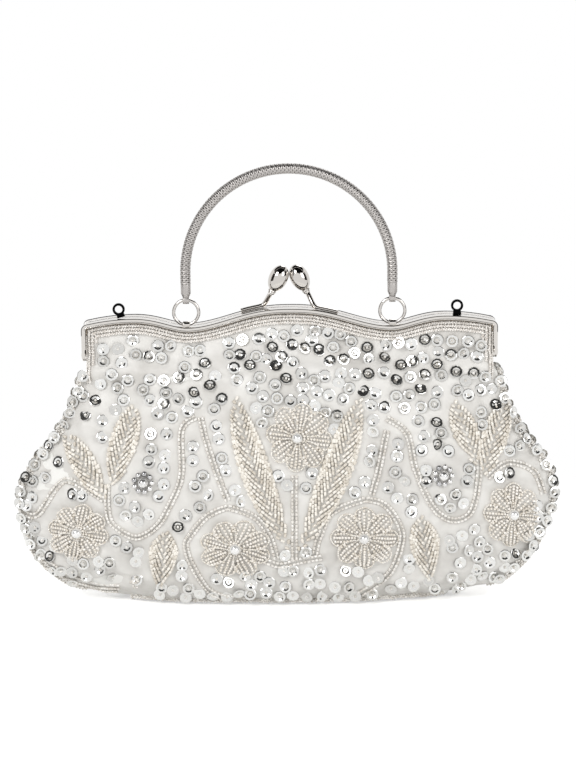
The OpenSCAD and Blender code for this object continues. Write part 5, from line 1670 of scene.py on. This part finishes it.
@dataclass
class SnakeChain:
    """The handle's snake chain: close rings whose waved edges lock together like scales."""

    radius: float = 2.6 * MM
    pitch: float = 0.98 * MM
    leg_low: float = 162.15 * MM
    arch_z: float = 167.65 * MM
    arch_r: float = 51 * MM
    strip_y: float = -3.5 * MM
    waves: int = 7
    wave_depth: float = 0.2 * MM
    facets: int = 28
    # A ring's section: places along the chain, and shares of its radius
    section: tuple[Pair, ...] = (
        (-0.62 * MM, 0.86), (-0.46 * MM, 0.95), (0.05 * MM, 1.0), (0.42 * MM, 0.965),
        (0.52 * MM, 0.86), (0.0, 0.76))

    def _link(self) -> Mesh:
        """Make one ring round X, with a waved edge."""
        profile = [Vector((a, 0, b * self.radius)) for a, b in self.section]
        bm = lathe(profile, Vector((1, 0, 0)), self.facets, closed=True)
        for vert in bm.verts:
            vert.co.x += self.wave_depth * math.cos(self.waves * math.atan2(vert.co.z, vert.co.y))
        return make_mesh("chain_link", bm, smooth=True)

    def build(self, finish: Finish) -> None:
        """Thread the rings along the arch."""
        leg = self.arch_z - self.leg_low
        total = 2 * leg + math.pi * self.arch_r
        count = round(total / self.pitch)
        places = []
        for i in range(count):
            run = (i + 0.5) * total / count
            a = math.pi - min(max((run - leg) / self.arch_r, 0.0), math.pi)
            ahead = Vector((math.sin(a), 0, -math.cos(a)))
            # Below the arch the chain runs straight up or down
            under = max(leg - run, run - (total - leg), 0.0)
            height = self.arch_z + self.arch_r * math.sin(a) - under
            place = Vector((self.arch_r * math.cos(a), self.strip_y, height))
            base = seat(place, Vector((0, -1, 0)), ahead)
            places.append(base @ Matrix.Rotation(math.pi / self.waves * (i % 2), 4, "X"))
        chain = scatter("snake_chain_links", self._link(), places, finish, 31)
        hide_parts("snake_chain")
        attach(chain, "handle")


@dataclass
class RolledEdge:
    """A fine half-round rib along the frame's front strip."""

    name: str
    inset: float
    radius: float
    foot: float
    facets: int = 10

    def build(self, form: PouchForm, strip_face_y: float, finish: Finish) -> Object:
        """Sweep the rib along its path inside the frame's outline, down to where it stops on the legs."""
        bm = bmesh.new()
        path = [Vector((x, strip_face_y, z)) for x, z in form.outline(self.inset, self.foot)]
        sweep(bm, path, [(self.radius, self.radius)] * len(path), self.facets)
        bmesh.ops.recalc_face_normals(bm, faces=bm.faces)
        return smooth_piece(self.name, bm, finish)


@dataclass
class PlatedParts:
    """The metal parts that keep their solids: each gets its plate, and smooth shading up to its edges."""

    crease_angle: float = math.radians(32)
    edge_round: float = 0.25 * MM
    lip_round: float = 0.6 * MM
    round_steps: int = 3
    eye_build: float = 0.2 * MM
    weld_gap: float = 0.002 * MM

    def _shading(self) -> NodeTree:
        """Make the modifier that joins the solids' loose triangles and shades them smooth between edges."""
        tree = bpy.data.node_groups.new("smooth_to_edges", "GeometryNodeTree")
        for way in ("INPUT", "OUTPUT"):
            tree.interface.new_socket("Geometry", in_out=way, socket_type="NodeSocketGeometry")
        start = add_node(tree, "NodeGroupInput")
        joined = add_node(tree, "GeometryNodeMergeByDistance", values={"Distance": self.weld_gap},
                          links={"Geometry": start.outputs["Geometry"]})
        smooth = add_node(tree, "GeometryNodeSetShadeSmooth", links={0: joined.outputs["Geometry"]})
        angle = add_node(tree, "GeometryNodeInputMeshEdgeAngle")
        flat = add_node(tree, "FunctionNodeCompare", {"operation": "LESS_THAN"}, {1: self.crease_angle},
                        {0: angle.outputs["Unsigned Angle"]})
        edges = add_node(tree, "GeometryNodeSetShadeSmooth", {"domain": "EDGE"},
                         links={0: smooth.outputs[0], "Shade Smooth": flat.outputs[0]})
        add_node(tree, "NodeGroupOutput", links={0: edges.outputs[0]})
        return tree

    def build(self, finishes: Finishes, nodes: dict[str, Object]) -> None:
        """Dress every metal node.

        Args:
            finishes: The bag's finishes.
            nodes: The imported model's nodes.
        """
        plates = {
            finishes.frame: ("front_frame", "back_frame", "left_hinge_rivet", "right_hinge_rivet",
                             "left_ring_lug", "right_ring_lug"),
            finishes.eye: ("left_chain_eye", "right_chain_eye"),
            finishes.ring: ("left_handle_ring", "right_handle_ring"),
            finishes.chain: ("left_handle_cap", "right_handle_cap")}
        shading = self._shading()
        for finish, names in plates.items():
            for name in names:
                node = nodes[name]
                node.data.materials.clear()
                node.data.materials.append(finish.material)
                node.modifiers.new("joined_faces", "WELD").merge_threshold = self.weld_gap
                if finish is finishes.eye:
                    thick = node.modifiers.new("plate_build_up", "DISPLACE")
                    thick.strength = self.eye_build
                    thick.mid_level = 0.0
                bevel = node.modifiers.new("polished_edges", "BEVEL")
                bevel.width = self.lip_round if "frame" in name else self.edge_round
                bevel.segments = self.round_steps
                bevel.use_clamp_overlap = True
                bevel.limit_method = "ANGLE"
                bevel.angle_limit = self.crease_angle
                node.modifiers.new("smooth_to_edges", "NODES").node_group = shading
                LOG.info("plated %s", name)


@dataclass
class Studio:
    """A plain pale sweep, soft lamps, and dark cards that only gloss sees."""

    floor_hex: str = "#f4f4f3"
    floor_glow: float = 0.42
    floor_size: float = 14.0
    floor_z: float = -0.3 * MM
    # Beyond this range of distances the floor shows plain white
    white_range: Pair = (0.17, 0.29)
    # Strength of the world's light on the bag, and of what the camera and gloss see
    world_levels: Pair = (0.62, 1.0)
    key_watts: float = 8.4
    # The middle of the bag, which lamps and cards face
    middle: Triple = (0.0, 0.0, 0.1)
    # Each lamp's place, size, and strength beside the key lamp's
    lamps: tuple[tuple[str, Triple, float, float], ...] = (
        ("key_lamp", (-0.75, -1.0, 1.0), 0.6, 1.0), ("fill_lamp", (0.9, -0.9, 0.6), 0.7, 0.45),
        ("rim_lamp", (0.3, 0.9, 1.1), 0.6, 0.4))
    # Each card's colour, place and size: one over the bag, and one at each side
    cards: tuple[tuple[str, str, Triple, float], ...] = (
        ("ceiling_card", "#121212", (0.0, -0.2, 1.35), 3.2),
        ("left_card", "#3a3836", (-1.7, -0.5, 0.55), 1.2),
        ("right_card", "#242322", (1.7, -0.4, 0.55), 1.2))

    def _facing(self, place: Triple, axis: str) -> Matrix:
        """Return the matrix of something at a place whose axis points at the bag."""
        way = Vector(self.middle) - Vector(place)
        return Matrix.Translation(place) @ way.to_track_quat(axis, "Y").to_matrix().to_4x4()

    def _lamp(self, name: str, place: Triple, size: float, share: float) -> None:
        """Add a square soft lamp that faces the bag."""
        data = bpy.data.lights.new(name, "AREA")
        data.energy = self.key_watts * share
        data.size = size
        link_object(name, data).matrix_world = self._facing(place, "-Z")

    def _plane(self, name: str, size: float, matrix: Matrix, material: Material) -> Object:
        """Add a flat stage piece."""
        bm = bmesh.new()
        bmesh.ops.create_grid(bm, x_segments=1, y_segments=1, size=size / 2, matrix=matrix)
        mesh = make_mesh(name, bm)
        mesh.materials.append(material)
        plane = link_object(name, mesh)
        return plane

    def _matt(self, name: str, roughness: float, values: dict) -> Material:
        """Make a stage material without any gloss."""
        made = bpy.data.materials.new(name)
        made.use_nodes = True
        feed(made.node_tree.nodes["Principled BSDF"],
             {"Roughness": roughness, "Specular IOR Level": 0.0, **values})
        return made

    def _seen(self, tree: NodeTree, path: Node) -> NodeSocket:
        """Return 1 for rays that the camera, gloss or glass sends, and 0 for others."""
        kinds = ("Camera", "Glossy", "Transmission")
        camera, gloss, glass = (path.outputs[f"Is {kind} Ray"] for kind in kinds)
        return add_math(tree, "MAXIMUM", add_math(tree, "MAXIMUM", camera, gloss), glass)

    def _floor(self) -> None:
        """Add the floor, which keeps the bag's shadow and turns to plain white away from it."""
        mat = self._matt("pale_sweep", 0.9, {"Emission Color": (1, 1, 1, 1)})
        tree = mat.node_tree
        path = add_node(tree, "ShaderNodeLightPath")
        place = add_node(tree, "ShaderNodeTexCoord").outputs["Object"]
        away = add_node(tree, "ShaderNodeVectorMath", {"operation": "LENGTH"}, links={0: place})
        near_edge, far_edge = self.white_range
        far = add_node(tree, "ShaderNodeMapRange", {"interpolation_type": "SMOOTHSTEP"},
                       {"From Min": near_edge, "From Max": far_edge}, {"Value": away.outputs["Value"]})
        white = add_math(tree, "MULTIPLY", self._seen(tree, path), far.outputs["Result"])
        colour = add_node(tree, "ShaderNodeMix", {"data_type": "RGBA"},
                          {6: linear(self.floor_hex), 7: (0, 0, 0, 1)}, {0: white})
        camera, gloss = path.outputs["Is Camera Ray"], path.outputs["Is Glossy Ray"]
        sheen = add_math(tree, "MULTIPLY_ADD", gloss, 0.5, camera)
        near = add_math(tree, "MULTIPLY", sheen, self.floor_glow)
        # The glow near the bag passes into plain white without a ring
        glow = add_math(tree, "MULTIPLY_ADD", white, add_math(tree, "SUBTRACT", 1.0, near), near)
        feed(tree.nodes["Principled BSDF"],
             links={"Base Color": colour.outputs[2], "Emission Strength": glow})
        self._plane("floor", self.floor_size, Matrix.Translation((0, 0, self.floor_z)), mat)

    def _world(self) -> None:
        """Light the bag evenly from all round, and show white to the camera and to gloss."""
        world = bpy.data.worlds.new("soft_studio")
        bpy.context.scene.world = world
        world.use_nodes = True
        tree = world.node_tree
        seen = self._seen(tree, add_node(tree, "ShaderNodeLightPath"))
        level = add_range(tree, seen, *self.world_levels)
        feed(tree.nodes["Background"], {"Color": (1, 1, 1, 1)}, {"Strength": level})

    def _cards(self) -> None:
        """Hang the cards that give polished metal its dark edges."""
        for name, hex_code, place, size in self.cards:
            material = self._matt(name, 1.0, {"Base Color": linear(hex_code)})
            card = self._plane(name, size, self._facing(place, "Z"), material)
            for kind in ("camera", "diffuse", "shadow", "transmission"):
                setattr(card, f"visible_{kind}", False)

    def build(self) -> None:
        """Set the stage."""
        self._floor()
        self._world()
        for lamp in self.lamps:
            self._lamp(*lamp)
        self._cards()
        bpy.context.scene.view_settings.view_transform = "Standard"


@dataclass
class Clutch:
    """The whole bag, built in order from its cloth outwards."""

    nodes: dict[str, Object]
    view: Viewpoint
    form: PouchForm = field(default_factory=PouchForm)
    finishes: Finishes = field(default_factory=Finishes)
    # Heights between which the cloth passes from the pouch to the frame
    bend: tuple[Triple, Triple] = ((0, 0, 112 * MM), (0, 0, 134 * MM))
    # Each rib's name, distance inside the frame's outline, radius and foot
    edges: tuple[tuple[str, float, float, float], ...] = (
        ("front_rolled_edge", 1.72 * MM, 0.32 * MM, 130 * MM),
        # The second rib is dark plate: a painted shadow line along the top of the strip, between the frame's
        # two halves
        ("front_painted_shadow_line", 0.12 * MM, 0.2 * MM, 137 * MM))

    def _both(self, piece: Object, nodes: tuple[str, ...], body: str | None) -> list[Object]:
        """Turn a front piece into its back twin, and let both replace their nodes and ride on a body, or
        stay where they are.

        Args:
            piece: The front piece.
            nodes: The nodes that it replaces, without their side.
            body: pouch, frame, or None for cloth between the two, which stays where it is and rides on
                neither.

        Returns:
            The front and the back piece.
        """
        pair = [piece, back_twin(piece, self.form)]
        for side, obj in zip(Side, pair):
            if nodes:
                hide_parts(*[f"{side.value}_{node}" for node in nodes])
            if body is None:
                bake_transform(obj)
            else:
                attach(obj, side.frame_body if body == "frame" else body)
            LOG.info("made %s", obj.name)
        return pair

    def _faces(self) -> None:
        """Build the cloth and the beadwork of both faces: every front piece first, then the twins."""
        look = self.finishes
        satin = Satin(self.form, self.view)
        satin.find()
        work = Beadwork(satin, look)
        panel = satin.build(look.satin, work.stitches())
        wadding = satin.inner("front_wadding", inset=1.5 * MM, thickness=1.5 * MM, top=0.83,
                              finish=look.wadding)
        lining = satin.inner("front_lining_cloth", inset=3.6 * MM, thickness=0.4 * MM, top=0.985,
                             finish=look.lining)
        flowers, outlines = work.flowers()
        leaves = work.leaf_beads()
        vines = work.vine_beads()
        base = work.edge_cluster()
        sequins, holders = work.sequin_cups()
        daisies, crystals = work.daisy_beads()
        ropes, edge_row = work.border()
        panels = self._both(panel, ("panel", "yoke"), None)
        pads = self._both(wadding, ("padding",), "pouch")
        linings = self._both(lining, ("lining", "lining_yoke"), None)
        for piece, nodes, body in (
                (flowers, ("flowers",), "pouch"),
                (outlines, (), "pouch"),
                (leaves, ("leaves",), "pouch"),
                (vines, ("vines",), "pouch"),
                (base, (), "pouch"),
                (sequins, ("sequins",), None),
                (holders, (), None),
                (daisies, ("crystals",), "pouch"),
                (crystals, (), "pouch"),
                (ropes, ("bead_border",), None),
                (edge_row, (), None)):
            self._both(piece, nodes, body)

    def _trimmings(self) -> None:
        """Build the frame's ribs, and the rope and the sequins of each seam."""
        low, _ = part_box("front_frame")
        for edge, finish in zip(self.edges, (self.finishes.frame, self.finishes.painted_shadow_plate)):
            self._both(RolledEdge(*edge).build(self.form, low[1], finish), (), "frame")
        for name, side, seed in (("left_seam", -1, 41), ("right_seam", 1, 42)):
            rope, sequins = SeamRope(self.form, self.finishes).build(name, side, seed)
            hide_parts(f"{name}_trim")
            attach(rope, "pouch")
            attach(sequins, "pouch")

    def build(self) -> None:
        """Build every piece."""
        self._faces()
        self._trimmings()
        for side in Side:
            ClaspArm(side, self.form).build(self.finishes.clasp)
            ClaspKnob(side).build(self.finishes.clasp)
        SnakeChain().build(self.finishes.chain)
        PlatedParts().build(self.finishes, self.nodes)


def main() -> None:
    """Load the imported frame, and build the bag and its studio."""
    logging.basicConfig(level=logging.INFO, format="%(name)s: %(message)s")
    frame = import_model()
    view = Viewpoint()
    view.build()
    Clutch(frame["nodes"], view).build()
    Studio().build()


if __name__ == "__main__":
    main()
